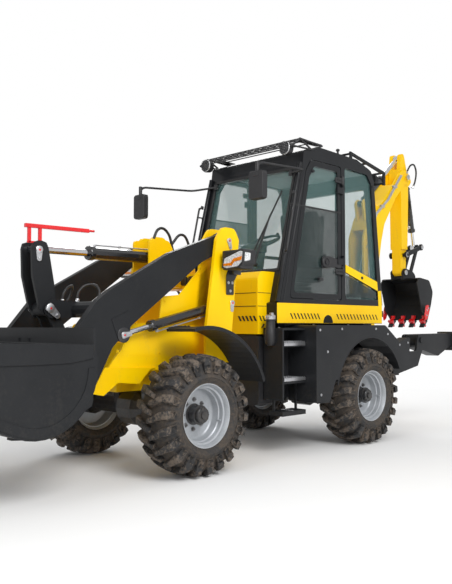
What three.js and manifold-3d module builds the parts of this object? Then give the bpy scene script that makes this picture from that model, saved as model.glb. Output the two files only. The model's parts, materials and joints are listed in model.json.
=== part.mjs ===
// Articulated compact backhoe loader: loader arms and bucket in front, cab in the middle, swinging hoe behind.
// Millimetres, +Z up, the machine faces -Y and its left side is +X. Heights are above the ground, and lengths
// run from the middle of the wheelbase, until the last lines set the origin under the whole machine.
import * as THREE from 'three';
import { mergeVertices } from 'three/addons/utils/BufferGeometryUtils.js';
import Module from 'manifold-3d';

const wasm = await Module();
wasm.setup();

// ---- driving dimensions ----
const wheelbase = 2200;
const track = 1400;
const tyreDiameter = 920;
const tyreWidth = 350;
const rimDiameter = 482;
const steerPivotY = -250;
const seatGap = 0.3;              // between faces that touch
const pinClearance = 0.9;         // radial, pin in its bore
const swingGap = 6;               // beside a piece that turns between two others

const chassisHalf = 230;          // rear frame beam
const chassisFloor = 620;
const chassisTop = 900;
const cabHalf = 610;
const cabFloor = 1330;
const cabWall = 40;
const cabFrontY = 16;
const doorThick = 34;
const doorGap = 7;
const glassThick = 6;
const hoodHalf = 490;
const stepHalf = 720;
const fenderOuter = 845;
const fenderInner = 520;

const towerOuter = 550;           // outer face of the outer tower plate
const towerPlate = 30;
const armOuter = 500;
const armThick = 60;
const towerInner = armOuter - armThick - 50;
const bucketHalf = 875;
const bucketPlate = 16;
const bucketArc = 425;
const bucketRoll = 22;            // degrees, carried rolled back

const boomHalf = 105;
const boomPlate = 24;
const stickHalf = 80;
const stickTipHalf = 60;
const hoeBucketHalf = 260;
const legInner = 540;
const legOuter = 680;
const pinRadius = 22;
const bossPinRadius = 32;

// ---- pivots, as [length, height] in the machine's side view ----
const axleHeight = tyreDiameter / 2;
const frontAxleY = -wheelbase / 2;
const rearAxleY = wheelbase / 2;
const wheelX = track / 2;
const liftPivot = [-555, 1845];
const liftRamBase = [-537, 1324];
const liftRamEye = [-1620, 1064];
const bucketPivot = [-1985, 625];
const bucketLinkPin = [-2030, 990];
const rockerPivot = [-2000, 1260];
const rockerFoot = [-1790, 890];
const rockerTop = [-2060, 1705];
const tiltRamBase = [-600, 1715];
const crossTube = [-1760, 1255];
const swingY = rearAxleY + 930;
const boomPivot = [2200, 1020];
const boomRamBase = [2050, 1250];
const boomRamEye = [2310, 2080];
const stickPivot = [3010, 2970];
const stickTail = [2980, 3220];
const stickRamBase = [2200, 2560];
const hoePivot = [3005, 1790];
const hoeLinkPin = [3190, 1790];
const leverPivot = [3010, 2010];
const leverJoint = [3360, 2130];
const hoeRamBase = [3185, 2960];
const legPivot = [2272, 977];
const doorHingeY = 960;
const doorHingeX = cabHalf + 12;

// ---- materials ----
function paint(color, roughness, metalness) {
  return new THREE.MeshStandardMaterial({ color, roughness, metalness });
}
const yellow = paint(0xf2b705, 0.4, 0.1);
const charcoal = paint(0x2e3033, 0.55, 0.2);
const black = paint(0x151617, 0.6, 0.1);
const rubber = paint(0x1d1c1b, 0.9, 0);
const silver = paint(0xb4b7ba, 0.4, 0.7);
const chrome = paint(0xd8dadc, 0.12, 1);
const iron = paint(0x4a4b4d, 0.7, 0.5);
const vinyl = paint(0x232426, 0.8, 0);
const glazing = paint(0x7fb0a8, 0.05, 0);

// ---- solids ----
function toSolid(geometry) {
  const bare = geometry.clone();
  bare.deleteAttribute('normal');
  bare.deleteAttribute('uv');
  const merged = mergeVertices(bare, 1e-3);
  const vertProperties = new Float32Array(merged.attributes.position.array);
  const triVerts = new Uint32Array(merged.index.array);
  return new wasm.Manifold(new wasm.Mesh({ numProp: 3, vertProperties, triVerts }));
}

function toGeometry(solid) {
  const mesh = solid.getMesh();
  const geometry = new THREE.BufferGeometry();
  geometry.setAttribute('position', new THREE.BufferAttribute(mesh.vertProperties, 3));
  geometry.setIndex(new THREE.BufferAttribute(mesh.triVerts, 1));
  geometry.computeVertexNormals();
  return geometry;
}

function join(...solids) {
  return solids.reduce((whole, piece) => whole.add(piece));
}

function cut(solid, ...cutters) {
  return cutters.reduce((rest, cutter) => rest.subtract(cutter), solid);
}

// A closed outline from corners [a, b] or [a, b, fillet radius].
function outline(corners) {
  const shape = new THREE.Shape();
  corners.forEach(([a, b, fillet = 0], i) => {
    const corner = new THREE.Vector2(a, b);
    const before = new THREE.Vector2(...corners.at(i - 1).slice(0, 2)).sub(corner);
    const after = new THREE.Vector2(...corners[(i + 1) % corners.length].slice(0, 2)).sub(corner);
    const reach = fillet && fillet / Math.tan(Math.acos(before.clone().normalize().dot(after.clone().normalize())) / 2);
    const start = corner.clone().addScaledVector(before.normalize(), reach);
    const end = corner.clone().addScaledVector(after.normalize(), reach);
    if (i === 0) shape.moveTo(start.x, start.y);
    else shape.lineTo(start.x, start.y);
    if (fillet) shape.quadraticCurveTo(a, b, end.x, end.y);
  });
  return shape;
}

const along = {
  side: new THREE.Matrix4().makeBasis(new THREE.Vector3(0, 1, 0), new THREE.Vector3(0, 0, 1), new THREE.Vector3(1, 0, 0)),
  front: new THREE.Matrix4().makeBasis(new THREE.Vector3(1, 0, 0), new THREE.Vector3(0, 0, 1), new THREE.Vector3(0, -1, 0)),
  plan: new THREE.Matrix4(),
};

function extruded(shape, depth, curveSegments = 2) {
  return new THREE.ExtrudeGeometry(shape, { depth, bevelEnabled: false, curveSegments });
}

// Plates: an outline in the side view between two widths, in the front view between two lengths,
// and in the plan between two heights.
function sidePlate(corners, x0, x1, curveSegments) {
  const shape = Array.isArray(corners) ? outline(corners) : corners;
  const geometry = extruded(shape, Math.abs(x1 - x0), curveSegments).applyMatrix4(along.side);
  return toSolid(geometry.translate(Math.min(x0, x1), 0, 0));
}

function frontPlate(corners, y0, y1, curveSegments) {
  const geometry = extruded(outline(corners), Math.abs(y1 - y0), curveSegments).applyMatrix4(along.front);
  return toSolid(geometry.translate(0, Math.max(y0, y1), 0));
}

function planPlate(corners, z0, z1, curveSegments) {
  return toSolid(extruded(outline(corners), z1 - z0, curveSegments).translate(0, 0, z0));
}

function block(x0, x1, y0, y1, z0, z1) {
  const geometry = new THREE.BoxGeometry(Math.abs(x1 - x0), Math.abs(y1 - y0), Math.abs(z1 - z0));
  return toSolid(geometry.translate((x0 + x1) / 2, (y0 + y1) / 2, (z0 + z1) / 2));
}

// A round bar across the machine, centred on [y, z].
function crossBar([y, z], radius, x0, x1, sides = radius > 26 && radius < 42 ? 14 : 12) {
  const geometry = new THREE.CylinderGeometry(radius, radius, Math.abs(x1 - x0), sides);
  return toSolid(geometry.rotateZ(Math.PI / 2).translate((x0 + x1) / 2, y, z));
}

function post(x, y, radius, z0, z1, sides = 16) {
  const geometry = new THREE.CylinderGeometry(radius, radius, z1 - z0, sides);
  return toSolid(geometry.rotateX(Math.PI / 2).translate(x, y, (z0 + z1) / 2));
}

// A round tube through a few points, with rounded bends.
function bentBar(points, radius, bend = 60, sides = 3) {
  const path = new THREE.CurvePath();
  const nodes = points.map((p) => new THREE.Vector3(...p));
  let from = nodes[0];
  for (let i = 1; i < nodes.length; i++) {
    const last = i === nodes.length - 1;
    const reach = last ? 0 : Math.min(bend, nodes[i].distanceTo(nodes[i - 1]) / 2, nodes[i].distanceTo(nodes[i + 1]) / 2);
    const stop = nodes[i].clone().addScaledVector(nodes[i].clone().sub(nodes[i - 1]).normalize(), -reach);
    path.add(new THREE.LineCurve3(from, stop));
    if (last) break;
    from = nodes[i].clone().addScaledVector(nodes[i + 1].clone().sub(nodes[i]).normalize(), reach);
    path.add(new THREE.QuadraticBezierCurve3(stop, nodes[i], from));
  }
  const section = new THREE.Shape();
  section.absarc(0, 0, radius, 0, 2 * Math.PI);
  const stations = [];
  path.curves.forEach((curve) => {
    const steps = curve.isLineCurve3 ? 1 : 3;
    for (let k = stations.length ? 1 : 0; k <= steps; k++) stations.push(curve.getPoint(k / steps));
  });
  const spine = new THREE.CatmullRomCurve3(stations, false, 'catmullrom', 0);
  spine.getPointAt = spine.getPoint;
  spine.getTangentAt = spine.getTangent;
  const steps = stations.length - 1;
  return toSolid(new THREE.ExtrudeGeometry(section, { steps, extrudePath: spine, curveSegments: sides }));
}

// ---- the tree of bodies ----
const machine = new THREE.Group();
machine.name = 'machine';

// A group at a pivot, inside its parent body. The record's joints sit at these places.
function body(name, parent, x, y, z) {
  const group = new THREE.Group();
  group.name = name;
  group.userData.at = new THREE.Vector3(x, y, z);
  group.position.copy(group.userData.at).sub(parent.userData.at ?? new THREE.Vector3());
  parent.add(group);
  return group;
}

function add(group, name, solid, material) {
  const mesh = new THREE.Mesh(toGeometry(solid), material);
  mesh.name = name;
  mesh.position.copy(group.userData.at).negate();
  group.add(mesh);
  return mesh;
}

const rearFrame = body('rear_frame', machine, 0, 0, 0);
const frontFrame = body('front_frame', rearFrame, 0, steerPivotY, 700);

// ---- hydraulic rams ----
// A ram lies in the side view from its base pin to its rod's eye. Its barrel hangs on the base pin, and its
// rod ends in an eye that stands between two lugs.
const ramSides = 10;

function ram(base, eye) {
  const dy = eye[0] - base[0];
  const dz = eye[1] - base[1];
  return { base, length: Math.hypot(dy, dz), tilt: Math.atan2(dz, dy) };
}

function alongRam({ base, tilt }, x, geometry) {
  return toSolid(geometry.rotateX(tilt).translate(x, base[0], base[1]));
}

function bar(radius, from, to, sides = ramSides) {
  return new THREE.CylinderGeometry(radius, radius, to - from, sides).translate(0, (from + to) / 2, 0);
}

function ramBarrel(line, x, { radius, rod, head, eyeHalf, pin = pinRadius }) {
  const tube = alongRam(line, x, bar(radius, pin + 50, head));
  const collar = alongRam(line, x, bar(radius + 5, head - 45, head - 5));
  const eye = crossBar(line.base, pin + 16, x - eyeHalf, x + eyeHalf);
  const neck = alongRam(line, x, bar(Math.min(eyeHalf, radius) * 0.9, 0, pin + 60));
  const bore = alongRam(line, x, bar(rod + pinClearance, pin + 64, head + 10));
  const pinHole = crossBar(line.base, pin + pinClearance, x - eyeHalf - 1, x + eyeHalf + 1);
  return cut(join(tube, collar, neck, eye), bore, pinHole);
}

function ramRod(line, x, { rod, inside, eyeHalf, pin = pinRadius }) {
  const end = [line.base[0] + line.length * Math.cos(line.tilt), line.base[1] + line.length * Math.sin(line.tilt)];
  const shaft = alongRam(line, x, bar(rod, inside, line.length));
  const eye = crossBar(end, pin + 14, x - eyeHalf, x + eyeHalf);
  const hole = crossBar(end, pin + pinClearance, x - eyeHalf - 1, x + eyeHalf + 1);
  return cut(join(shaft, eye), hole);
}

// ---- wheels ----
// A turned shape about the machine's cross axis, from [width from the wheel's middle, radius] corners that
// run from the inner side round to the outer side.
function turned(profile, side, segments) {
  const points = profile.map(([across, radius]) => new THREE.Vector2(radius, across)).reverse();
  const geometry = new THREE.LatheGeometry(points, segments);
  return toSolid(geometry.rotateZ(-side * Math.PI / 2));
}

const wheelSides = 22;

function addWheel(parent, name, side, y) {
  const group = body(name, parent, side * wheelX, y, axleHeight);
  const halfTyre = tyreWidth / 2;
  const tread = tyreDiameter / 2;
  const bead = rimDiameter / 2;
  const tyre = turned([
    [-0.34 * tyreWidth, bead - 18], [0.34 * tyreWidth, bead - 18], [halfTyre - 26, bead + 6],
    [halfTyre, bead + 100], [halfTyre - 14, tread - 35], [halfTyre - 60, tread], [-halfTyre + 60, tread],
    [-halfTyre + 14, tread - 35], [-halfTyre, bead + 100], [-halfTyre + 26, bead + 6], [-0.34 * tyreWidth, bead - 18],
  ], side, wheelSides);
  const rimSeat = bead - 18 - seatGap;
  const rim = turned([
    [-0.34 * tyreWidth, rimSeat - 12], [-20, rimSeat - 14], [-10, 108], [-10, 60], [4, 60], [10, rimSeat - 24],
    [0.34 * tyreWidth, rimSeat - 12], [0.34 * tyreWidth, rimSeat],
    [-0.34 * tyreWidth, rimSeat], [-0.34 * tyreWidth, rimSeat - 12],
  ], side, wheelSides);
  for (const [label, solid, material] of [['tyre', tyre, rubber], ['rim', rim, silver]]) {
    const mesh = new THREE.Mesh(toGeometry(solid), material);
    mesh.name = `${name}_${label}`;
    group.add(mesh);
  }
}

// An axle: a cast housing with a round middle, two tubes and a hub inside each wheel's disc.
function axle(y) {
  const flange = wheelX - 10 - seatGap;
  const housing = toSolid(new THREE.LatheGeometry([
    [0, -wheelX - 12], [58, -wheelX - 12], [58, -flange], [105, -flange], [105, -wheelX + 110],
    [70, -wheelX + 180], [70, -190], [150, -90], [150, 90], [70, 190], [70, wheelX - 180], [105, wheelX - 110],
    [105, flange], [58, flange], [58, wheelX + 12], [0, wheelX + 12],
  ].map(([r, x]) => new THREE.Vector2(r, x)), 12).rotateZ(-Math.PI / 2));
  const saddles = [-1, 1].map((side) => block(side * 150, side * 226, -70, 70, 30, chassisFloor - axleHeight - seatGap));
  const whole = join(housing, ...saddles);
  return toSolid(toGeometry(whole).translate(0, y, axleHeight));
}

// ---- rear frame ----
const yokeHalf = 120;
const steerPinRadius = 40;
const tongue = { low: 600, high: 760 };

function rearChassis() {
  const rearFace = rearAxleY + 690;
  const beam = block(-chassisHalf, chassisHalf, -60, rearFace, chassisFloor, chassisTop);
  const yoke = [[-yokeHalf, -40], [-yokeHalf, steerPivotY - 70, 90], [yokeHalf, steerPivotY - 70, 90], [yokeHalf, -40]];
  const upperYoke = planPlate(yoke, tongue.high + swingGap, tongue.high + 60);
  const lowerYoke = planPlate(yoke, tongue.low - 60, tongue.low - swingGap);
  const yokeBack = block(-yokeHalf, yokeHalf, -110, -55, tongue.low - 60, tongue.high + 60);
  const steerPin = post(0, steerPivotY, steerPinRadius, tongue.low - 75, tongue.high + 75);
  const cabBearers = [[120, 500], [1450, fenderInner]].map(([y, reach]) => block(
    -reach + seatGap, reach - seatGap, y, y + 90, chassisTop - 60, cabFloor - 175 - seatGap,
  ));
  const crossBeam = block(-legOuter - 45, legOuter + 45, rearFace - 110, rearFace, 620, 860);
  const swingArm = [[-105, rearFace - 5], [-105, swingY + 105, 90], [105, swingY + 105, 90], [105, rearFace - 5]];
  const swingPlates = [[600, 640], [820, 860]].map(([low, high]) => planPlate(swingArm, low, high));
  const swingBack = block(-105, 105, rearFace - 8, rearFace + 40, 600, 860);
  const swingPin = post(0, swingY, 45, 590, 870);
  const legPlate = [
    [rearFace - 5, 630], [legPivot[0] - 72, 700], [legPivot[0] + 70, 940, 30], [legPivot[0] + 70, 1040, 50],
    [legPivot[0] - 62, 1040, 50], [legPivot[0] - 100, 860, 30], [rearFace - 5, 860],
  ];
  const brackets = [-1, 1].flatMap((side) => [
    sidePlate(legPlate, side * (legInner - swingGap), side * (legInner - swingGap - 25)),
    sidePlate(legPlate, side * (legOuter + swingGap), side * (legOuter + swingGap + 25)),
    crossBar(legPivot, bossPinRadius, side * (legInner - 45), side * (legOuter + 45)),
  ]);
  return join(beam, upperYoke, lowerYoke, yokeBack, steerPin, ...cabBearers, crossBeam, ...swingPlates, swingBack,
    swingPin, ...brackets);
}

function engineHood() {
  const profile = [[-145, 1060], [-145, 1560, 50], [-100, 1620, 40], [85, 1620], [14.5, 1347], [-26.6, 1337],
    [-26.6, 1060]];
  return sidePlate(profile, -hoodHalf, hoodHalf);
}

// ---- cab ----
const cabSide = [
  [-26, cabFloor - 175], [-26, 1335], [cabFrontY, 1345], [350, 2650], [366, 2770, 30], [595, 2836], [1224, 2818],
  [1480, 2740, 60], [1520, 2640], [1658, 1404], [1653, cabFloor - 175],
];
const roofUnder = 2720;
const doorTop = 2700;
// The door's opening: foot of the front pillar, sill, rear pillar, roof and the front pillar again.
const doorway = [[152, 1380, 30], [952, 1380, 30], [952, doorTop, 30], [470, doorTop, 40], [392, 2586, 60]];
const quarterWindow = [[1012, 1400, 25], [1590, 1400, 25], [1478, 2600, 50], [1400, 2690, 30], [1012, 2700, 25]];
const bandHeights = [[1012, 1735], [1568, 1588], [1578, 1492], [1012, 1660]];

function shrink(corners, gap) {
  const middle = corners.reduce(([a, b], c) => [a + c[0] / corners.length, b + c[1] / corners.length], [0, 0]);
  return corners.map(([a, b, r = 0]) => [a - gap * Math.sign(a - middle[0]), b - gap * Math.sign(b - middle[1]), r]);
}

const hingeHeights = [1720, 2420];
const screenEdge = [[-520, 1650, 40], [520, 1650, 40], [520, 2600, 40], [-520, 2600, 40]];
const rearEdge = [[-520, 1480, 40], [520, 1480, 40], [520, 2560, 40], [-520, 2560, 40]];

function cabShell() {
  const outer = sidePlate(cabSide, -cabHalf, cabHalf);
  const inner = sidePlate([
    [cabFrontY + cabWall, cabFloor], [375 + cabWall, 2660], [440, roofUnder], [1420, roofUnder],
    [1515 - cabWall, 2600], [1655 - cabWall, cabFloor],
  ], -cabHalf + cabWall, cabHalf - cabWall);
  const windscreen = frontPlate(screenEdge, -60, 430);
  const rearWindow = frontPlate(rearEdge, 1400, 1700);
  const sides = [-1, 1].flatMap((side) => {
    const panes = sidePlate(quarterWindow, side * (cabHalf - cabWall - 5), side * (cabHalf + 5));
    const band = sidePlate(bandHeights, side * (cabHalf - 14), side * cabHalf);
    return [sidePlate(doorway, side * (cabHalf - cabWall - 5), side * (cabHalf + 5)), cut(panes, band)];
  });
  const belly = block(-cabHalf + cabWall, cabHalf - cabWall, 230, 1430, 1150, cabFloor - 40);
  const hingeLugs = [-1, 1].flatMap((side) => hingeHeights.map((z) => block(
    side * (cabHalf - 3), side * (doorHingeX + 12), doorHingeY - 7, doorHingeY + 16, z + 80 + seatGap, z + 100,
  )));
  return join(cut(outer, inner, windscreen, rearWindow, belly, ...sides), ...hingeLugs);
}

function sideGlass(side) {
  const outside = cabHalf - 18;
  return sidePlate(shrink(quarterWindow, seatGap), side * (outside - glassThick), side * outside);
}

// A flat pane that leans with the cab's front or rear wall and fills its window.
function leaningPane(edge, [y0, z0], [y1, z1]) {
  const slab = sidePlate([[y0, z0], [y0 + glassThick, z0], [y1 + glassThick, z1], [y1, z1]], -cabHalf, cabHalf);
  return slab.intersect(frontPlate(shrink(edge, seatGap), Math.min(y0, y1) - 20, Math.max(y0, y1) + 20));
}

function door(side) {
  const outer = cabHalf - 2;
  const shape = shrink(doorway, doorGap);
  const frame = sidePlate(shape, side * (outer - doorThick), side * outer);
  const window = sidePlate(shrink(doorway, 58), side * (outer - doorThick - 1), side * (outer + 1));
  const hinges = hingeHeights.map((z) => join(
    post(side * doorHingeX, doorHingeY, 9, z, z + 80, 12),
    block(side * (outer - 4), side * (doorHingeX + 4), doorHingeY - 90, doorHingeY - 20, z + 10, z + 70),
    block(side * (cabHalf + 4), side * (doorHingeX + 4), doorHingeY - 30, doorHingeY, z + 10, z + 70),
  ));
  return join(cut(frame, window), ...hinges);
}

function doorGlass(side) {
  const middle = cabHalf - 2 - doorThick / 2;
  return sidePlate(shrink(doorway, 58 + seatGap), side * (middle - glassThick / 2), side * (middle + glassThick / 2));
}

function seat() {
  const base = block(-170, 170, 700, 1080, cabFloor + seatGap, 1600);
  const squab = sidePlate([[620, 1590], [1130, 1590], [1130, 1740], [660, 1740, 40], [610, 1700, 40]], -250, 250);
  const back = sidePlate([[1060, 1700], [1150, 2300, 50], [1250, 2300, 50], [1180, 1600], [1100, 1600]], -235, 235);
  return join(base, squab, back);
}

function cabControls() {
  const mat = block(-540, 540, 90, 640, cabFloor + seatGap, cabFloor + 12);
  const column = sidePlate([[190, cabFloor + 5], [330, cabFloor + 5], [480, 1962], [400, 2000]], -70, 70);
  const dish = toSolid(new THREE.CylinderGeometry(185, 185, 26, 24).rotateX(Math.PI / 2 - 0.45).translate(0, 470, 1965));
  const console = block(-470, -300, 380, 640, cabFloor + 5, 1780);
  const pedestal = block(-420, -350, 430, 560, 1770, 1880);
  return join(mat, column, dish, console, pedestal);
}

function mirror(side) {
  const mirrorX = 776;
  const stay = bentBar([[side * 500, cabFrontY + 296, 2560], [side * 740, 200, 2540], [side * mirrorX, -455, 2495],
    [side * mirrorX, -459, 2340]], 11);
  const head = frontPlate([[side * mirrorX - 84, 2180, 30], [side * mirrorX + 84, 2180, 30],
    [side * mirrorX + 84, 2420, 30], [side * mirrorX - 84, 2420, 30]], -475, -430);
  const foot = block(side * 480, side * 520, 300, 320.2, 2535, 2585);
  return join(stay, head, foot);
}

function frontVisor() {
  const plate = planPlate([[-620, 190, 40], [620, 190, 40], [620, 400, 20], [-620, 400, 20]], 2843, 2858);
  const feet = [-1, 1].map((side) => block(side * 560, side * 600, 600, 640, 2836.1, 2858));
  const arms = [-1, 1].map((side) => block(side * 560, side * 600, 380, 640, 2843, 2858));
  const lamps = [-1, 1].map((side) => toSolid(
    new THREE.CylinderGeometry(62, 62, 60, 12).translate(side * 430, 225, 2775),
  ));
  const stems = [-1, 1].map((side) => block(side * 415, side * 445, 210, 240, 2825, 2850));
  const under = [-1, 1].map((side) => block(side * 415, side * 445, 210, 240, 2775, 2850));
  return join(plate, ...feet, ...arms, ...lamps, ...stems, ...under);
}

function rearLampGuard() {
  const rails = [-1, 1].map((side) => sidePlate([
    [1160, 2820.2], [1160, 2900], [1800, 2780], [1800, 2640], [1765, 2640], [1765, 2752], [1190, 2865], [1190, 2820.2],
  ], side * 560, side * 580));
  const bars = [[1175, 2880], [1480, 2830], [1782, 2775], [1782, 2660]].map((at) => crossBar(at, 12, -570, 570, 6));
  const lamps = [-1, 1].map((side) => toSolid(
    new THREE.CylinderGeometry(58, 58, 55, 12).translate(side * 430, 1782, 2718),
  ));
  return join(...rails, ...bars, ...lamps);
}

// ---- steps, fenders and tanks ----
function sideBody(side) {
  const archRadius = tyreDiameter / 2 + 100;
  const fender = sidePlate([
    [235, 450, 20], [430, 450, 30], [520, 640], [1680, 700], [1790, 727, 20], [1817, 1017, 20], [1600, 975],
    [1350, 1140, 60], [235, 1140, 20],
  ], side * fenderInner, side * fenderOuter);
  const arch = crossBar([rearAxleY, axleHeight], archRadius, side * (fenderInner - 5), side * (fenderOuter + 5), 32);
  const back = block(side * 500, side * 522, -80, 240, 480, 1115);
  const cheek = sidePlate([[-80, 480, 20], [-60, 480], [-60, 1115], [-80, 1115, 20]], side * 505, side * stepHalf);
  const treads = [650, 970].map((z) => block(side * 505, side * stepHalf, -65, 240, z - 22, z + 22));
  const top = block(side * 505, side * stepHalf, -65, 240, 1095, 1115);
  const straps = [[-80, -64], [222, 238]].map(([y0, y1]) => block(side * 600, side * 620, y0, y1, 370, 640));
  const lowTread = block(side * 560, side * stepHalf, -80, 238, 350, 390);
  const beamRoom = block(side * (fenderInner - 5), side * (legOuter + 52), rearAxleY + 570, 1900, 600, 1100);
  return join(cut(fender, arch, beamRoom), back, cheek, ...treads, top, ...straps, lowTread);
}

function sideTank(side, filler) {
  const tank = frontPlate([
    [side * (chassisHalf + seatGap), 430, 30], [side * 490, 430, 50], [side * 490, 1050, 40],
    [side * (chassisHalf + seatGap), 1050],
  ], -135, 110);
  return filler ? join(tank, post(side * 400, -75, 38, 1040, 1052)) : tank;
}

// ---- front frame ----
const towerFoot = 830;
const noseHalf = 400;
const noseFront = -1480;

function frontChassis() {
  const beam = block(-chassisHalf, chassisHalf, noseFront, steerPivotY - 170, chassisFloor, towerFoot - seatGap);
  const tongueShape = [[-118, steerPivotY - 175], [-118, steerPivotY + 118, 105], [118, steerPivotY + 118, 105],
    [118, steerPivotY - 175]];
  const tongueBlock = planPlate(tongueShape, tongue.low, tongue.high);
  const pinHole = post(0, steerPivotY, steerPinRadius + pinClearance, tongue.low - 5, tongue.high + 5);
  const nose = [[-1830, 643, 10], [-1720, 620, 10], [-1590, 708, 30], [-1385, 688], [-1300, 784], [-860, 800],
    [-800, 760], [-600, 780], [-560, towerFoot - seatGap], [-828, towerFoot - seatGap], [-828, 1140], [-1200, 1160],
    [-1460, 1150, 40], [-1560, 960], [-1700, 800]];
  const cheeks = [-1, 1].map((side) => sidePlate(nose, side * (noseHalf - 25), side * noseHalf));
  const bulkhead = block(-noseHalf + 5, noseHalf - 5, noseFront, noseFront + 25, 720, 1000);
  const deck = block(-noseHalf + 5, noseHalf - 5, noseFront, -600, 800, 825);
  return join(beam, cut(tongueBlock, pinHole), ...cheeks, bulkhead, deck);
}

const towerShape = [[-827, towerFoot, 60], [-827, 1099], [-710, 1850, 70], [-640, 1955, 60], [-500, 1955, 60],
  [-445, 1862, 40], [-531, 1089], [-531, towerFoot]];

function loaderTower() {
  const plates = [-1, 1].flatMap((side) => [
    sidePlate(towerShape, side * towerOuter, side * (towerOuter - towerPlate)),
    sidePlate(towerShape, side * towerInner, side * (towerInner - towerPlate)),
    block(side * (towerInner - 5), side * (towerOuter - 5), -820, -540, 832, 880),
    crossBar(liftPivot, bossPinRadius, side * (towerInner - 35), side * (towerOuter + 6)),
    crossBar(liftRamBase, pinRadius, side * (towerInner - 35), side * (towerOuter + 6)),
    sidePlate([[-690, 1560], [-510, 1560], [-545, 1765, 40], [-655, 1765, 40]], side * 60, side * 85),
    sidePlate([[-1065, 1600, 20], [-1065, 1860, 30], [-850, 1860, 60], [-690, 1570], [-690, 1455], [-880, 1470]],
      side * 95, side * 112),
  ]);
  const crossBeam = block(-towerInner + 25, towerInner - 25, -700, -500, 1450, 1575);
  const shelf = block(-towerInner + 25, towerInner - 25, -790, -570, 832, 880);
  const tiltPin = crossBar(tiltRamBase, pinRadius, -90, 90);
  const lampArms = [-1, 1].map((side) => block(side * (towerOuter - 5), side * 690, -560, -530, 1600, 1640));
  const lamps = [-1, 1].map((side) => frontPlate([
    [side * 590, 1600], [side * 790, 1600], [side * 790, 1740], [side * 590, 1740],
  ], -680, -540));
  return join(...plates, crossBeam, shelf, tiltPin, ...lampArms, ...lamps);
}

// A mudguard bent round the front tyre, hung on the tower's outer plate.
function frontFender(side) {
  const inner = tyreDiameter / 2 + 185;
  const shape = new THREE.Shape();
  const from = THREE.MathUtils.degToRad(20);
  const to = THREE.MathUtils.degToRad(103);
  shape.absarc(0, 0, inner + 22, from, to, false);
  shape.absarc(0, 0, inner, to, from, true);
  const sheet = sidePlate(shape, side * (towerOuter + seatGap), side * 870, 8);
  return toSolid(toGeometry(sheet).translate(0, frontAxleY, axleHeight));
}

// ---- loader ----
const liftRam = ram(liftRamBase, liftRamEye);
const tiltRam = ram(tiltRamBase, rockerTop);
const armMiddle = armOuter - armThick / 2;
const liftRod = 20;
const liftSlot = liftRod + 4;      // half the gap between the lugs that hold the lift ram's eye
const rockerHalf = 85;
const rockerPlate = 25;

function loaderArms() {
  const armInner = armOuter - armThick;
  const armShape = [
    [-470, 1780, 60], [-470, 1920, 70], [-590, 1925, 60], [-657, 1890], [-1174, 1703], [-1744, 1392], [-1848, 1317],
    [-2030, 1100, 60], [-2045, 900, 60], [-2062, 560, 70], [-1905, 540, 70], [-1892, 652], [-1716, 975, 60], [-1560, 1124, 40],
    [-829, 1653, 40], [-640, 1740],
  ];
  const sides = [-1, 1].flatMap((side) => [
    sidePlate(armShape, side * armInner, side * armOuter),
    crossBar(liftPivot, 78, side * (towerInner + swingGap), side * (towerOuter - towerPlate - swingGap)),
    ...[-1, 1].map((wall) => sidePlate(
      [[-1730, 1180], [-1560, 1250], [-1560, 1110, 20], [-1580, 1022, 30], [-1660, 1015, 30]],
      side * (armMiddle + wall * liftSlot), side * (armMiddle + wall * (armThick / 2 + 4)), 3,
    )),
  ]);
  const liftRodPath = [[-1720, 1060], [-1680, 1150], [-1560, 1178], [-1330, 1258], [-1330, 1180], [-1600, 1060]];
  const tube = crossBar(crossTube, 60, -armInner - 5, armInner + 5);
  const brackets = [-1, 1].map((side) => sidePlate(
    [[-1700, 1220, 20], [-1700, 1315, 30], [-1990, 1330, 60], [-2065, 1260, 60], [-2000, 1190, 50], [-1760, 1195, 40]],
    side * (rockerHalf + swingGap), side * (rockerHalf + swingGap + 22), 4,
  ));
  const rockerPin = crossBar(rockerPivot, 30, -rockerHalf - 34, rockerHalf + 34);
  const holes = [-1, 1].flatMap((side) => [
    crossBar(liftPivot, bossPinRadius + pinClearance, side * (towerInner), side * (towerOuter)),
    crossBar(bucketPivot, bossPinRadius + pinClearance, side * (armInner - 5), side * (armOuter + 5)),
    crossBar(liftRamEye, 112, side * (armMiddle - liftSlot), side * (armMiddle + liftSlot)),
    sidePlate(liftRodPath, side * (armMiddle - liftSlot), side * (armMiddle + liftSlot)),
  ]);
  return join(cut(join(...sides, tube), ...holes), ...brackets, rockerPin);
}

function rocker() {
  const shape = [
    [-2140, 1760, 55], [-2010, 1760, 55], [-1950, 1450, 80], [-1930, 1260, 80], [-1745, 920, 45], [-1770, 845, 45],
    [-1835, 850, 45], [-1985, 1190, 60], [-2070, 1255, 60], [-2130, 1500, 80],
  ];
  const plates = [-1, 1].map((side) => sidePlate(shape, side * rockerHalf, side * (rockerHalf - rockerPlate)));
  const boss = crossBar(rockerPivot, 52, -rockerHalf, rockerHalf);
  const bore = crossBar(rockerPivot, 30 + pinClearance, -rockerHalf - 5, rockerHalf + 5);
  return join(cut(join(...plates, boss), bore), crossBar(rockerFoot, pinRadius, -rockerHalf + 5, rockerHalf - 5));
}

function rockerLink() {
  const half = rockerHalf - rockerPlate - swingGap;
  const line = ram(rockerFoot, bucketLinkPin);
  const web = alongRam(line, 0, new THREE.BoxGeometry(half * 1.2, line.length, 52).translate(0, line.length / 2, 0));
  const eyes = [rockerFoot, bucketLinkPin].map((at) => crossBar(at, 38, -half, half));
  const bores = [rockerFoot, bucketLinkPin].map((at) => crossBar(at, pinRadius + pinClearance, -half - 1, half + 1));
  return cut(join(web, ...eyes), ...bores);
}

// The loader bucket is drawn level about the centre of its round back, then rolled back and set in place.
const bucketCentre = [-2530, 860];

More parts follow.
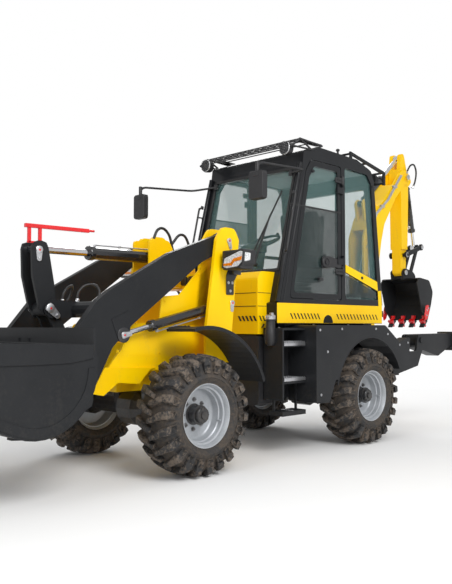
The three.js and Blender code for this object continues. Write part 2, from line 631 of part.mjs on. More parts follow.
function loaderBucket() {
  const end = THREE.MathUtils.degToRad(39);
  const sides = new THREE.Shape();
  sides.moveTo(-550, -bucketArc);
  sides.lineTo(0, -bucketArc);
  sides.absarc(0, 0, bucketArc, -Math.PI / 2, end, false);
  sides.lineTo(310, 290);
  sides.lineTo(-300, 64);
  sides.lineTo(-450, -50);
  const inside = new THREE.Shape();
  inside.moveTo(-700, -bucketArc + bucketPlate);
  inside.lineTo(0, -bucketArc + bucketPlate);
  inside.absarc(0, 0, bucketArc - bucketPlate, -Math.PI / 2, end + 0.07, false);
  inside.lineTo(300, 600);
  inside.lineTo(-700, 600);
  const shell = cut(sidePlate(sides, -bucketHalf, bucketHalf, 7),
    sidePlate(inside, -bucketHalf + bucketPlate, bucketHalf - bucketPlate, 7));
  const lip = sidePlate([[318, 250], [331, 262], [276, 392], [260, 386]], -bucketHalf, bucketHalf);
  const blade = sidePlate([[-585, -bucketArc - 4], [-400, -bucketArc - 4], [-400, -bucketArc + 14], [-560, -bucketArc + 14]],
    -bucketHalf, bucketHalf);
  const [cy, cz] = bucketCentre;
  const bowl = toSolid(toGeometry(join(shell, lip, blade))
    .rotateX(-THREE.MathUtils.degToRad(bucketRoll)).translate(0, cy, cz));
  const armInner = armOuter - armThick;
  const ear = [[-2225, 585], [-2000, 540, 60], [-1900, 560, 60], [-1900, 690, 60], [-1990, 715, 40], [-2118, 800]];
  const linkEar = [[-2113, 890], [-2030, 930, 50], [-1975, 990, 40], [-2030, 1045, 40], [-2150, 1045]];
  const lugs = [-1, 1].flatMap((side) => [
    sidePlate(ear, side * (armOuter + swingGap), side * (armOuter + swingGap + 22)),
    sidePlate(ear, side * (armInner - swingGap), side * (armInner - swingGap - 22)),
    crossBar(bucketPivot, bossPinRadius, side * (armInner - 34), side * (armOuter + 34)),
    sidePlate(linkEar, side * (rockerHalf - rockerPlate), side * (rockerHalf - 5)),
  ]);
  return join(bowl, ...lugs);
}

// ---- hoe ----
const boomRam = ram(boomRamBase, boomRamEye);
const stickRam = ram(stickRamBase, stickTail);
const hoeRam = ram(hoeRamBase, leverJoint);

function swingPost() {
  const wall = boomHalf + swingGap;
  const hub = post(0, swingY, 80, 640 + swingGap, 820 - swingGap);
  const web = block(-75, 75, swingY + 40, 2260, 640 + swingGap, 820 - swingGap);
  const back = block(-wall - 28, wall + 28, 2160, 2260, 640 + swingGap, 900);
  const head = block(-wall - 28, wall + 28, 1965, 2260, 872, 925);
  const shape = [[1965, 880], [2280, 880, 30], [2290, 1040, 70], [2180, 1120, 60], [2120, 1300, 50], [1985, 1310, 50]];
  const cheeks = [-1, 1].flatMap((side) => [
    sidePlate(shape, side * wall, side * (wall + 28)),
    crossBar(boomRamBase, 44, side * 38, side * (wall + 5)),
  ]);
  const pins = [crossBar(boomPivot, bossPinRadius, -wall - 34, wall + 34), crossBar(boomRamBase, pinRadius, -wall, wall)];
  return join(cut(join(hub, web), post(0, swingY, 45 + pinClearance, 600, 860)), back, head, ...cheeks, ...pins);
}

function boom() {
  const outer = [
    [2200, 938, 20], [2128, 965, 30], [2090, 1500], [2080, 2140, 150], [2200, 2400, 150], [2530, 2640, 60],
    [2855, 2995, 50], [2960, 3065, 50], [3085, 3045, 50], [3100, 2905, 50], [2985, 2875, 40], [2770, 2680],
    [2520, 2340, 100], [2455, 2140, 150], [2330, 1600], [2272, 965, 30],
  ];
  const whole = sidePlate(outer, -boomHalf, boomHalf);
  const slot = sidePlate([[1900, 1130], [2060, 1130], [2170, 1105, 20], [2245, 1120, 20], [2305, 1600], [2420, 2030],
    [2422, 2130, 20], [2385, 2215, 30], [2180, 2250, 40], [1900, 2200]], -boomHalf + boomPlate, boomHalf - boomPlate);
  const fork = crossBar(stickPivot, 318, -stickHalf - swingGap, stickHalf + swingGap, 20);
  const footBore = crossBar(boomPivot, bossPinRadius + pinClearance, -boomHalf - 5, boomHalf + 5);
  const lugs = [-1, 1].map((side) => sidePlate(
    [[2180, 2330], [2140, 2560, 40], [2200, 2625, 40], [2265, 2570, 40], [2420, 2580], [2400, 2450]],
    side * 38, side * 62, 3,
  ));
  const stickPin = crossBar(stickPivot, bossPinRadius, -boomHalf - 10, boomHalf + 10);
  const ramPin = crossBar(stickRamBase, pinRadius, -70, 70);
  return join(cut(whole, slot, fork, footBore), ...lugs, stickPin, ramPin);
}

function stick() {
  const shape = [
    [2945, 3265, 40], [3015, 3275, 40], [3100, 3000], [3112, 2850, 60], [3108, 2700], [3065, 1800, 50],
    [3005, 1735, 50], [2948, 1790, 50], [2942, 2700], [2920, 2970, 60],
  ];
  const slim = [-1, 1].map((side) => block(side * stickTipHalf, side * (stickHalf + 5), 2880, 3200, 1650, 2080));
  const tail = crossBar(stickTail, 155, -32, 32, 16);
  const bores = [[stickPivot, bossPinRadius, stickHalf], [hoePivot, bossPinRadius - 6, stickHalf],
    [leverPivot, pinRadius, stickHalf]].map(([at, radius, half]) => crossBar(at, radius + pinClearance, -half - 5, half + 5));
  const ramLugs = [-1, 1].map((side) => sidePlate(
    [[3090, 3050], [3185, 3012, 40], [3235, 2960, 40], [3185, 2905, 40], [3095, 2840]], side * 34, side * 56, 3,
  ));
  const ramPin = crossBar(hoeRamBase, pinRadius, -62, 62);
  return join(cut(sidePlate(shape, -stickHalf, stickHalf), ...slim, tail, ...bores), ...ramLugs, ramPin);
}

function hoeLever() {
  const half = stickTipHalf + 36;
  const line = ram(leverPivot, leverJoint);
  const arms = [-1, 1].flatMap((side) => {
    const x = side * (half + 11);
    return [
      alongRam(line, x, new THREE.BoxGeometry(22, line.length, 52).translate(0, line.length / 2, 0)),
      crossBar(leverPivot, 40, x - 11, x + 11),
      crossBar(leverJoint, 40, x - 11, x + 11),
    ];
  });
  const pin = crossBar(leverPivot, pinRadius, -half - 30, half + 30);
  const stubs = [-1, 1].map((side) => crossBar(leverJoint, pinRadius, side * 34, side * (half + 30)));
  return join(...arms, pin, ...stubs);
}

function hoeLink() {
  const line = ram(leverJoint, hoeLinkPin);
  const bars = [-1, 1].flatMap((side) => [
    alongRam(line, side * 48, new THREE.BoxGeometry(22, line.length, 46).translate(0, line.length / 2, 0)),
    crossBar(leverJoint, 38, side * 37, side * 59),
  ]);
  const foot = crossBar(hoeLinkPin, 36, -59, 59);
  const bores = [leverJoint, hoeLinkPin].map((at) => crossBar(at, pinRadius + pinClearance, -65, 65));
  return cut(join(...bars, foot), ...bores);
}

// A narrow digging bucket: two cheeks with a bent shell between them and four teeth on its lip.
function hoeBucket() {
  const cheek = [[3096, 1327], [2986, 1654, 20], [3040, 1725, 30], [3280, 1700, 60], [3370, 1557, 80], [3317, 1393],
    [3225, 1195, 10]];
  const inside = [[3060, 1260], [2900, 1700], [3035, 1711, 30], [3272, 1685, 50], [3354, 1555, 70], [3302, 1400],
    [3205, 1190]];
  const outer = sidePlate(cheek, -hoeBucketHalf, hoeBucketHalf);
  const hollow = sidePlate(inside, -hoeBucketHalf + 14, hoeBucketHalf - 14);
  const ears = [-1, 1].map((side) => sidePlate(
    [[2960, 1700], [2950, 1800, 45], [3010, 1845, 45], [3180, 1815, 45], [3240, 1775, 45], [3260, 1700], [3040, 1710]],
    side * (stickTipHalf + swingGap), side * (stickTipHalf + swingGap + 22), 4,
  ));
  const pin = crossBar(hoePivot, bossPinRadius - 6, -stickTipHalf - 36, stickTipHalf + 36);
  const teeth = [-3, -1, 1, 3].map((k) => sidePlate(
    [[3232, 1215], [3205, 1222], [3135, 1118], [3150, 1113], [3245, 1190]], k * 74 - 28, k * 74 + 28,
  ));
  return join(cut(outer, hollow), ...ears, pin, ...teeth);
}

function leg(side) {
  const shape = [[2235, 1040, 50], [2990, 1045], [3060, 1000, 30], [3045, 925, 30], [2700, 790, 60], [2300, 880, 40],
    [2212, 915, 40]];
  const beam = sidePlate(shape, side * legInner, side * legOuter);
  const pad = block(side * (legInner - 50), side * (legOuter + 50), 3045, 3075, 850, 1060);
  const bore = crossBar(legPivot, bossPinRadius + pinClearance, side * (legInner - 5), side * (legOuter + 5));
  return join(cut(beam, bore), pad);
}

// ---- the machine ----
const liftSizes = { radius: 38, rod: liftRod, head: 840, eyeHalf: 30 };
const tiltSizes = { radius: 50, rod: 28, head: 1000, eyeHalf: 54 };
const boomSizes = { radius: 46, rod: 28, head: 800, eyeHalf: 32 };
const stickSizes = { radius: 42, rod: 25, head: 545, eyeHalf: 32 };
const hoeSizes = { radius: 38, rod: 22, head: 650, eyeHalf: 28 };

add(rearFrame, 'rear_chassis', rearChassis(), charcoal);
add(rearFrame, 'rear_axle', axle(rearAxleY), black);
add(rearFrame, 'engine_block', block(-210, 210, 260, 860, chassisTop + seatGap, cabFloor - 46), iron);
add(rearFrame, 'engine_hood', engineHood(), yellow);
add(rearFrame, 'cab_shell', cabShell(), charcoal);
add(rearFrame, 'windscreen', leaningPane(screenEdge, [104, 1620], [362, 2630]), glazing);
add(rearFrame, 'rear_window', leaningPane(rearEdge, [1631, 1460], [1507, 2600]), glazing);
add(rearFrame, 'front_visor', frontVisor(), charcoal);
add(rearFrame, 'rear_lamp_guard', rearLampGuard(), charcoal);
add(rearFrame, 'seat', seat(), vinyl);
add(rearFrame, 'cab_controls', cabControls(), black);
for (const [side, name] of [[1, 'left'], [-1, 'right']]) {
  add(rearFrame, `${name}_mirror`, mirror(side), black);
  add(rearFrame, `${name}_quarter_glass`, sideGlass(side), glazing);
  add(rearFrame, `${name}_side_body`, sideBody(side), charcoal);
  const hinge = body(`${name}_door`, rearFrame, side * doorHingeX, doorHingeY, cabFloor);
  add(hinge, `${name}_door_frame`, door(side), charcoal);
  add(hinge, `${name}_door_glass`, doorGlass(side), glazing);
  addWheel(rearFrame, `${name}_rear_wheel`, side, rearAxleY);
  addWheel(frontFrame, `${name}_front_wheel`, side, frontAxleY);
  const support = body(`${name}_leg`, rearFrame, side * (legInner + legOuter) / 2, ...legPivot);
  add(support, `${name}_stabiliser_leg`, leg(side), charcoal);
}
add(rearFrame, 'fuel_tank', sideTank(1, true), black);
add(rearFrame, 'hydraulic_tank', sideTank(-1, false), black);

add(frontFrame, 'front_chassis', frontChassis(), yellow);
add(frontFrame, 'front_axle', axle(frontAxleY), black);
add(frontFrame, 'loader_tower', loaderTower(), yellow);
const loader = body('loader_arms', frontFrame, 0, ...liftPivot);
add(loader, 'loader_arm_frame', loaderArms(), charcoal);
const bucket = body('loader_bucket', loader, 0, ...bucketPivot);
add(bucket, 'loader_bucket_shell', loaderBucket(), charcoal);
const lever = body('rocker', loader, 0, ...rockerPivot);
add(lever, 'rocker_lever', rocker(), charcoal);
const link = body('rocker_link', lever, 0, ...rockerFoot);
add(link, 'bucket_link', rockerLink(), charcoal);
for (const [side, name] of [[1, 'left'], [-1, 'right']]) {
  add(frontFrame, `${name}_front_fender`, frontFender(side), charcoal);
  const barrel = body(`${name}_lift_barrel`, frontFrame, 0, ...liftRamBase);
  add(barrel, `${name}_lift_ram`, ramBarrel(liftRam, side * armMiddle, liftSizes), black);
  const rod = body(`${name}_lift_rod`, barrel, 0, ...liftRamBase);
  add(rod, `${name}_lift_piston_rod`, ramRod(liftRam, side * armMiddle, { rod: liftRod, inside: 205, eyeHalf: liftSlot - swingGap }), chrome);
}
const tiltBarrel = body('tilt_barrel', frontFrame, 0, ...tiltRamBase);
add(tiltBarrel, 'tilt_ram', ramBarrel(tiltRam, 0, tiltSizes), black);
add(body('tilt_rod', tiltBarrel, 0, ...tiltRamBase), 'tilt_piston_rod',
  ramRod(tiltRam, 0, { rod: 28, inside: 560, eyeHalf: 54 }), chrome);

const swing = body('swing_post', rearFrame, 0, swingY, 730);
add(swing, 'hoe_swing_post', swingPost(), charcoal);
const boomBody = body('boom', swing, 0, ...boomPivot);
add(boomBody, 'hoe_boom', boom(), yellow);
const stickBody = body('stick', boomBody, 0, ...stickPivot);
add(stickBody, 'hoe_stick', stick(), yellow);
const hoe = body('hoe_bucket', stickBody, 0, ...hoePivot);
add(hoe, 'hoe_bucket_shell', hoeBucket(), charcoal);
const hoeArm = body('hoe_lever', stickBody, 0, ...leverPivot);
add(hoeArm, 'hoe_bucket_lever', hoeLever(), charcoal);
add(body('hoe_link', hoeArm, 0, ...leverJoint), 'hoe_bucket_link', hoeLink(), charcoal);
const rams = [
  ['boom', swing, boomRam, boomSizes, { rod: 28, inside: 150, eyeHalf: 40 }],
  ['stick', boomBody, stickRam, stickSizes, { rod: 25, inside: 508, eyeHalf: 27 }],
  ['hoe', stickBody, hoeRam, hoeSizes, { rod: 22, inside: 275, eyeHalf: 28 }],
];
for (const [name, carrier, line, sizes, rodSizes] of rams) {
  const barrel = body(`${name}_barrel`, carrier, 0, ...line.base);
  add(barrel, `${name}_ram`, ramBarrel(line, 0, sizes), black);
  add(body(`${name}_rod`, barrel, 0, ...line.base), `${name}_piston_rod`, ramRod(line, 0, rodSizes), chrome);
}

// The origin is under the middle of the whole machine's box, on the ground.
machine.updateMatrixWorld(true);
const box = new THREE.Box3().setFromObject(machine, true);
const centre = box.getCenter(new THREE.Vector3());
machine.position.set(-centre.x, -centre.y, -box.min.z);

export default machine;
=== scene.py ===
import json
from math import cos, exp, pi, radians, sin, sqrt, tau

import bmesh
import bpy
from mathutils import Matrix, Vector


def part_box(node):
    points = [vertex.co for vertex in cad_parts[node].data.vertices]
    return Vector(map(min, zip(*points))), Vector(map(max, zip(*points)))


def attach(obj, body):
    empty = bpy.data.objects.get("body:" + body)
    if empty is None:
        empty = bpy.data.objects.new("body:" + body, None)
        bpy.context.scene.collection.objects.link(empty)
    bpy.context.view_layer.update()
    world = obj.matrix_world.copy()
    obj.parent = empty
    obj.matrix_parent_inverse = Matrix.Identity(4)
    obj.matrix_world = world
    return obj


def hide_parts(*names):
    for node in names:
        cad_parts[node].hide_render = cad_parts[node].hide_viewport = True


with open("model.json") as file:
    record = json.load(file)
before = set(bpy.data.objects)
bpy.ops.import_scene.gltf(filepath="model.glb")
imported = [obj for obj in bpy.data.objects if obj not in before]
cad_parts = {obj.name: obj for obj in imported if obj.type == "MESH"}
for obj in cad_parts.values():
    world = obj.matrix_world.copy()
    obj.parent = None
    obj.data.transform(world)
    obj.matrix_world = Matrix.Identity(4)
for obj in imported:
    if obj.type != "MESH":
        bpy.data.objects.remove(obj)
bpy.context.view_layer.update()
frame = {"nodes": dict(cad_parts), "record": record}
nodes = frame["nodes"]
scene = bpy.context.scene
print("frame loaded:", len(nodes), "nodes")

wheelLow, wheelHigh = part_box("left_front_wheel_tyre")
frameShift = (wheelLow.y + wheelHigh.y) / 2 + 1.1  # the front axle is 1.1 m ahead of the drawing's zero


def at(x, y, z):  # a point of the drawing, in millimetres, to the frame in metres
    return Vector((x / 1000, y / 1000 + frameShift, z / 1000))


# camera, floor and light

view = {"place": (4.767, -4.928, 1.131), "yaw": 0.7822, "pitch": 0.0473, "lens": 44.34, "sensor": 36}
camera = bpy.data.objects.new("camera", bpy.data.cameras.new("camera"))
camera.data.lens = view["lens"]
camera.data.sensor_width = view["sensor"]
camera.data.clip_end = 200
camera.location = view["place"]
camera.rotation_euler = (pi / 2 + view["pitch"], 0, view["yaw"])
scene.collection.objects.link(camera)
scene.camera = camera
scene.view_settings.view_transform = "Standard"


class Wire:  # a socket that Python expressions can use
    def __init__(self, finish, socket):
        self.finish, self.socket = finish, socket

    def maths(self, operation, first, second):
        return self.finish.node("Math", {"operation": operation}, {0: first, 1: second})

    def __add__(self, other):
        return self.maths("ADD", self, other)

    def __sub__(self, other):
        return self.maths("SUBTRACT", self, other)

    def __rsub__(self, other):
        return self.maths("SUBTRACT", other, self)

    def __mul__(self, other):
        return self.maths("MULTIPLY", self, other)


class Finish:  # one material, or the world, and its nodes
    def __init__(self, name, kind="materials"):
        self.material = getattr(bpy.data, kind).new(name)
        self.material.use_nodes = True
        self.tree = self.material.node_tree
        self.tree.nodes.clear()

    def node(self, kind, settings=None, inputs=None, output=0):
        made = self.tree.nodes.new("ShaderNode" + kind)
        for key, value in (settings or {}).items():
            setattr(made, key, value)
        for key, value in (inputs or {}).items():
            socket = made.inputs[key]
            if isinstance(value, Wire):
                self.tree.links.new(value.socket, socket)
            else:
                socket.default_value = (*value, 1) if socket.type == "RGBA" else value
        return Wire(self, made.outputs[output]) if made.outputs else None

    def place(self, stretch=(1, 1, 1)):
        coordinates = self.node("TexCoord", output="Object")
        return self.node("Mapping", {}, {"Vector": coordinates, "Scale": stretch})

    def noise(self, scale, detail=4, roughness=0.55, stretch=(1, 1, 1)):
        return self.node("TexNoise", {}, {"Vector": self.place(stretch), "Scale": scale, "Detail": detail,
            "Roughness": roughness})

    def ramp(self, value, low, high):  # 0 below low, 1 above high
        return self.node("MapRange", {}, {"Value": value, 1: low, 2: high, 3: 0.0, 4: 1.0})

    def height(self, low, high):  # 1 at low, 0 at high
        split = self.node("SeparateXYZ", {}, {0: self.place()}, "Z")
        return 1 - self.ramp(split, low, high)

    def mix(self, factor, first, second):
        return self.node("Mix", {"data_type": "RGBA"}, {0: factor, 6: first, 7: second}, 2)

    def bump(self, height, strength, distance):
        return self.node("Bump", {}, {"Height": height, "Strength": strength, "Distance": distance})

    def surface(self, inputs):
        shader = self.node("BsdfPrincipled", {}, inputs)
        self.node("OutputMaterial", {}, {"Surface": shader})
        return self.material


def stageMaterial(name, level, start, end):  # pale floor that turns to plain white away from the machine
    finish = Finish(name)
    distance = finish.node("VectorMath", {"operation": "LENGTH"}, {0: finish.place()}, "Value")
    path = [finish.node("LightPath", output=out) for out in ("Is Camera Ray", "Is Glossy Ray",
        "Is Transmission Ray")]
    seen = finish.ramp(path[0] + path[1] + path[2], 0, 1)
    grain = finish.noise(3, 3)
    base = finish.mix(grain, (level, level, level), (level * 0.985, level * 0.985, level * 0.98))
    diffuse = finish.node("BsdfDiffuse", {}, {"Color": base})
    white = finish.node("Emission", {}, {"Color": (1, 1, 1), "Strength": 1.0})
    both = finish.node("MixShader", {}, {0: finish.ramp(distance, start, end) * seen, 1: diffuse, 2: white})
    finish.node("OutputMaterial", {}, {"Surface": both})
    return finish.material


floorSize = {"radius": 60, "level": 0.93, "fadeStart": 4.2, "fadeEnd": 7.5}
floorMesh = bpy.data.meshes.new("floor")
floorBm = bmesh.new()
bmesh.ops.create_circle(floorBm, cap_ends=True, segments=64, radius=floorSize["radius"])
floorBm.to_mesh(floorMesh)
floorBm.free()
floor = bpy.data.objects.new("floor", floorMesh)
scene.collection.objects.link(floor)
floorMesh.materials.append(stageMaterial("pale_floor", floorSize["level"], floorSize["fadeStart"],
    floorSize["fadeEnd"]))

worldLevel = 0.62
sky = Finish("studio", "worlds")  # lights with worldLevel, looks white to the camera
scene.world = sky.material
seenWays = [sky.node("LightPath", output=out) for out in ("Is Camera Ray", "Is Transmission Ray")]
skySeen = sky.node("Math", {"operation": "MAXIMUM"}, dict(enumerate(seenWays)))
skyLevel = sky.node("Mix", {}, {0: skySeen, 2: worldLevel, 3: 1.0})
skyGlow = sky.node("Background", {}, {"Color": (1, 1, 1), "Strength": skyLevel})
sky.node("OutputWorld", {}, {"Surface": skyGlow})

# place, aim, size, power
lamps = {"keyLamp": ((7.5, -3.0, 6.5), (0, 0, 1.2), 5.0, 560),
    "frontLamp": ((1.5, -9.0, 4.5), (0, 0, 1.2), 5.0, 130),
    "backLamp": ((-6.5, 5.5, 6.0), (0, 0, 1.5), 5.0, 330),}
for lampName, (place, aim, size, power) in lamps.items():
    lamp = bpy.data.objects.new(lampName, bpy.data.lights.new(lampName, "AREA"))
    lamp.data.shape = "DISK"
    lamp.data.size = size
    lamp.data.energy = power
    lamp.location = place
    lamp.rotation_euler = (Vector(aim) - Vector(place)).to_track_quat("-Z", "Y").to_euler()
    scene.collection.objects.link(lamp)
print("camera, floor and lamps placed")

# finishes


def paintFinish(name, base, darker, dust, rough, coat, peel, dustTop=1.3, dustMost=0.5, shine=0.5):
    finish = Finish(name)
    cloud = finish.noise(2.3, 5, 0.6)
    speck = finish.noise(38, 5, 0.7)
    body = finish.mix(finish.ramp(cloud, 0.35, 0.68), base, darker)
    streak = finish.ramp(finish.noise(9, 5, 0.65, (1, 1, 0.18)), 0.52, 0.78) * 0.22
    low = finish.height(0.05, dustTop) * finish.ramp(speck + cloud * 0.6, 0.62, 1.05) * dustMost
    grime = finish.ramp(speck * 0.55 + streak + low, 0.36, 1.1)
    skin = finish.mix(grime, body, dust)
    wear = finish.ramp(finish.noise(120, 3, 0.6), 0.71, 0.76)
    skin = finish.mix(wear * 0.35, skin, (0.24, 0.22, 0.2))
    peelHeight = finish.noise(peel, 2, 0.5)
    return finish.surface({"Base Color": skin, "Roughness": grime * 0.35 + rough + cloud * 0.08,
        "Metallic": 0.0, "Coat Weight": coat - grime * coat, "Coat Roughness": 0.12,
        "Specular IOR Level": shine, "Normal": finish.bump(peelHeight + speck * 0.3, 0.12, 0.0006)})


def metalFinish(name, base, darker, rough, metallic, scale):
    finish = Finish(name)
    cloud = finish.noise(6, 4)
    grain = finish.noise(scale, 4, 0.6)
    skin = finish.mix(finish.ramp(cloud * 0.6 + grain * 0.4, 0.4, 0.62), base, darker)
    return finish.surface({"Base Color": skin, "Roughness": grain * 0.18 + rough, "Metallic": metallic,
        "Normal": finish.bump(grain, 0.08, 0.0004)})


def plasticFinish(name, base, darker, rough, scale, strength=0.25):
    finish = Finish(name)
    grain = finish.node("TexVoronoi", {"feature": "SMOOTH_F1"}, {"Vector": finish.place(), "Scale": scale})
    cloud = finish.noise(5, 4)
    skin = finish.mix(finish.ramp(cloud, 0.35, 0.7), base, darker)
    dusty = finish.ramp(finish.noise(22, 5, 0.7), 0.55, 0.8) * 0.18
    skin = finish.mix(dusty, skin, (0.13, 0.12, 0.11))
    return finish.surface({"Base Color": skin, "Roughness": cloud * 0.14 + rough,
        "Normal": finish.bump(grain, strength, 0.0005)})


def tyreFinish(name, depth, pale):  # depth pushes the mud towards the hollows
    finish = Finish(name)
    patch = finish.noise(7, 6, 0.68)
    fine = finish.noise(46, 6, 0.7)
    mud = finish.ramp(patch * 0.6 + fine * 0.5, 0.5 - depth, 0.61)
    rubber = finish.mix(finish.ramp(fine, 0.4, 0.7), (0.016, 0.016, 0.017), (0.034, 0.033, 0.033))
    soil = finish.mix(fine, (0.085 * pale, 0.062 * pale, 0.046 * pale),
        (0.24 * pale, 0.195 * pale, 0.155 * pale))
    crust = finish.noise(130, 4, 0.6)
    return finish.surface({"Base Color": finish.mix(mud, rubber, soil), "Roughness": mud * 0.3 + 0.6,
        "Normal": finish.bump(mud * 0.7 + crust * 0.45, 0.55, 0.004)})


def glassFinish(name, tint, alpha):
    finish = Finish(name)
    film = finish.ramp(finish.noise(3.2, 5, 0.7), 0.45, 0.85)
    edge = finish.node("LayerWeight", {}, {"Blend": 0.28}, "Fresnel")
    skin = finish.mix(film * 0.25, tint, (0.3, 0.34, 0.33))
    return finish.surface({"Base Color": skin, "Roughness": film * 0.05 + 0.02, "IOR": 1.5,
        "Alpha": edge * 0.3 + film * 0.05 + alpha, "Specular IOR Level": 0.9})


def lensFinish(name, base, rough, glow):
    finish = Finish(name)
    facet = finish.node("TexVoronoi", {"feature": "F1"}, {"Vector": finish.place(), "Scale": 90.0})
    skin = finish.mix(finish.ramp(facet, 0.1, 0.7), base, tuple(level * 0.55 for level in base))
    return finish.surface({"Base Color": skin, "Roughness": facet * 0.2 + rough, "Coat Weight": 1.0,
        "Coat Roughness": 0.03, "Emission Color": skin, "Emission Strength": glow,
        "Normal": finish.bump(facet, 0.5, 0.002)})


yellowPaint = paintFinish("yellow_paint", (1.0, 0.64, 0.0), (0.98, 0.58, 0.0), (0.42, 0.27, 0.1), 0.36, 0.1,
    260, 0.75, 0.5, 0.22)
charcoalPaint = paintFinish("charcoal_paint", (0.019, 0.02, 0.022), (0.013, 0.014, 0.016), (0.05, 0.047, 0.042),
    0.42, 0.05, 420, 1.0, 0.4, 0.2)
cabPaint = paintFinish("cab_frame_paint", (0.009, 0.01, 0.012), (0.006, 0.007, 0.009), (0.04, 0.038, 0.035),
    0.3, 0.12, 420, 0.6, 0.3, 0.3)
redPaint = paintFinish("red_paint", (0.78, 0.012, 0.016), (0.62, 0.008, 0.012), (0.3, 0.12, 0.1), 0.28, 0.45,
    300, 0.4, 0.3)
castPaint = paintFinish("black_casting", (0.018, 0.018, 0.02), (0.011, 0.011, 0.013), (0.085, 0.072, 0.06),
    0.34, 0.4, 120, 0.9, 0.8)
barrelPaint = paintFinish("barrel_paint", (0.014, 0.014, 0.016), (0.01, 0.01, 0.012), (0.06, 0.055, 0.05), 0.2,
    0.7, 340, 0.6, 0.4)
rimPaint = metalFinish("rim_paint", (0.46, 0.48, 0.51), (0.36, 0.38, 0.4), 0.27, 0.25, 150)
chromeRod = metalFinish("chrome_rod", (0.83, 0.84, 0.86), (0.7, 0.71, 0.73), 0.08, 1.0, 200)
zincSteel = metalFinish("zinc_steel", (0.66, 0.67, 0.69), (0.48, 0.48, 0.5), 0.28, 0.9, 180)
wornSteel = metalFinish("worn_steel", (0.30, 0.30, 0.31), (0.12, 0.115, 0.11), 0.34, 0.8, 60)
blackPlastic = plasticFinish("black_plastic", (0.02, 0.02, 0.022), (0.013, 0.013, 0.015), 0.42, 700)
blackRubber = plasticFinish("black_rubber", (0.012, 0.012, 0.013), (0.02, 0.02, 0.02), 0.5, 420, 0.15)
hoseRubber = plasticFinish("hose_rubber", (0.013, 0.013, 0.014), (0.022, 0.022, 0.022), 0.38, 900, 0.3)
seatVinyl = plasticFinish("seat_vinyl", (0.03, 0.031, 0.034), (0.02, 0.021, 0.023), 0.48, 520, 0.5)
cabLining = plasticFinish("cab_lining", (0.11, 0.115, 0.12), (0.075, 0.08, 0.085), 0.6, 300)
paleLining = plasticFinish("pale_lining", (0.42, 0.45, 0.45), (0.33, 0.36, 0.36), 0.6, 300)
treadRubber = tyreFinish("tread_rubber", -0.02, 0.8)
wallRubber = tyreFinish("sidewall_rubber", 0.03, 0.42)
tealGlass = glassFinish("teal_glass", (0.14, 0.27, 0.26), 0.09)
darkGlass = glassFinish("dark_glass", (0.02, 0.035, 0.035), 0.4)
mirrorGlass = metalFinish("mirror_glass", (0.7, 0.74, 0.76), (0.62, 0.66, 0.68), 0.04, 1.0, 20)
clearLens = lensFinish("clear_lens", (0.86, 0.87, 0.88), 0.08, 0.12)
amberLens = lensFinish("amber_lens", (0.95, 0.27, 0.01), 0.1, 0.15)
redLens = lensFinish("red_lens", (0.6, 0.01, 0.01), 0.1, 0.06)
whiteReflector = metalFinish("white_reflector", (0.82, 0.82, 0.82), (0.7, 0.7, 0.7), 0.35, 0.0, 90)
# near-black: on the louvre and hood slots it is painted shade of the openings; it also draws the panel seams
deepBlack = plasticFinish("deep_black", (0.004, 0.004, 0.004), (0.006, 0.006, 0.006), 0.7, 200, 0.1)

slotFinish = {"yellow_paint": yellowPaint, "charcoal_paint": charcoalPaint, "tyre": wallRubber, "rim": rimPaint,
    "rod": chromeRod, "ram": barrelPaint, "cast": castPaint, "glass": tealGlass, "black_plastic": blackPlastic,
    "vinyl": seatVinyl}
slotOf = {row["node"]: row["material_slot"] for row in frame["record"]["subparts"]}
finishSlot = {finish.name: slotName for slotName, finish in slotFinish.items()}


def giveFinish(piece, finish):
    piece.data.materials.clear()
    piece.data.materials.append(finish)


for nodeName, nodeObject in nodes.items():
    giveFinish(nodeObject, slotFinish[slotOf[nodeName]])
for nodeName in ("cab_shell", "left_door_frame", "right_door_frame"):
    giveFinish(nodes[nodeName], cabPaint)
print("finishes made:", len(bpy.data.materials))

# shapes, drawn in millimetres in the drawing's own place

shift = Matrix.Translation


def spin(angle, axis):
    return Matrix.Rotation(angle, 4, axis)


def move(bm, matrix):
    bmesh.ops.transform(bm, matrix=matrix, verts=bm.verts)


drawingToFrame = shift((0, frameShift, 0)) @ Matrix.Scale(0.001, 4)


def bevelEdges(bm, edges, offset, segments=2):
    bmesh.ops.bevel(bm, geom=list(edges), offset=offset, segments=segments, profile=0.5, affect="EDGES",
        material=-1)


def pour(bm, part, *places):  # adds a copy of part at each place
    mesh = bpy.data.meshes.new("pour")
    part.to_mesh(mesh)
    part.free()
    for place in places or (Matrix(),):
        copied = mesh.copy()
        copied.transform(place)
        bm.from_mesh(copied)
        bpy.data.meshes.remove(copied)
    bpy.data.meshes.remove(mesh)


def arcPoints(y, z, radius, angles, rise=None):  # points on an arc, or on an ellipse of that rise; degrees
    return [(y + radius * cos(radians(angle)), z + (rise or radius) * sin(radians(angle))) for angle in angles]


def block(low, high, bevel=0, segments=2):
    bm = bmesh.new()
    low, high = Vector(low), Vector(high)
    bmesh.ops.create_cube(bm, size=1, matrix=Matrix.LocRotScale((low + high) / 2, None, high - low))
    if bevel:
        bevelEdges(bm, bm.edges, bevel, segments)
    return bm


def along(start, end):  # turns the z axis to run from start to end
    start, end = Vector(start), Vector(end)
    return shift(start) @ (end - start).to_track_quat("Z", "Y").to_matrix().to_4x4()


def post(start, end, radius, top=None, sides=24, bevel=0):
    bm = bmesh.new()
    length = (Vector(end) - Vector(start)).length
    bmesh.ops.create_cone(bm, cap_ends=True, segments=sides, radius1=radius, radius2=radius if top is None
        else top, depth=length, matrix=shift((0, 0, length / 2)))
    if bevel:
        bevelEdges(bm, [e for e in bm.edges if abs(e.verts[0].co.z - e.verts[1].co.z) < 0.01], bevel)
    move(bm, along(start, end))
    return bm


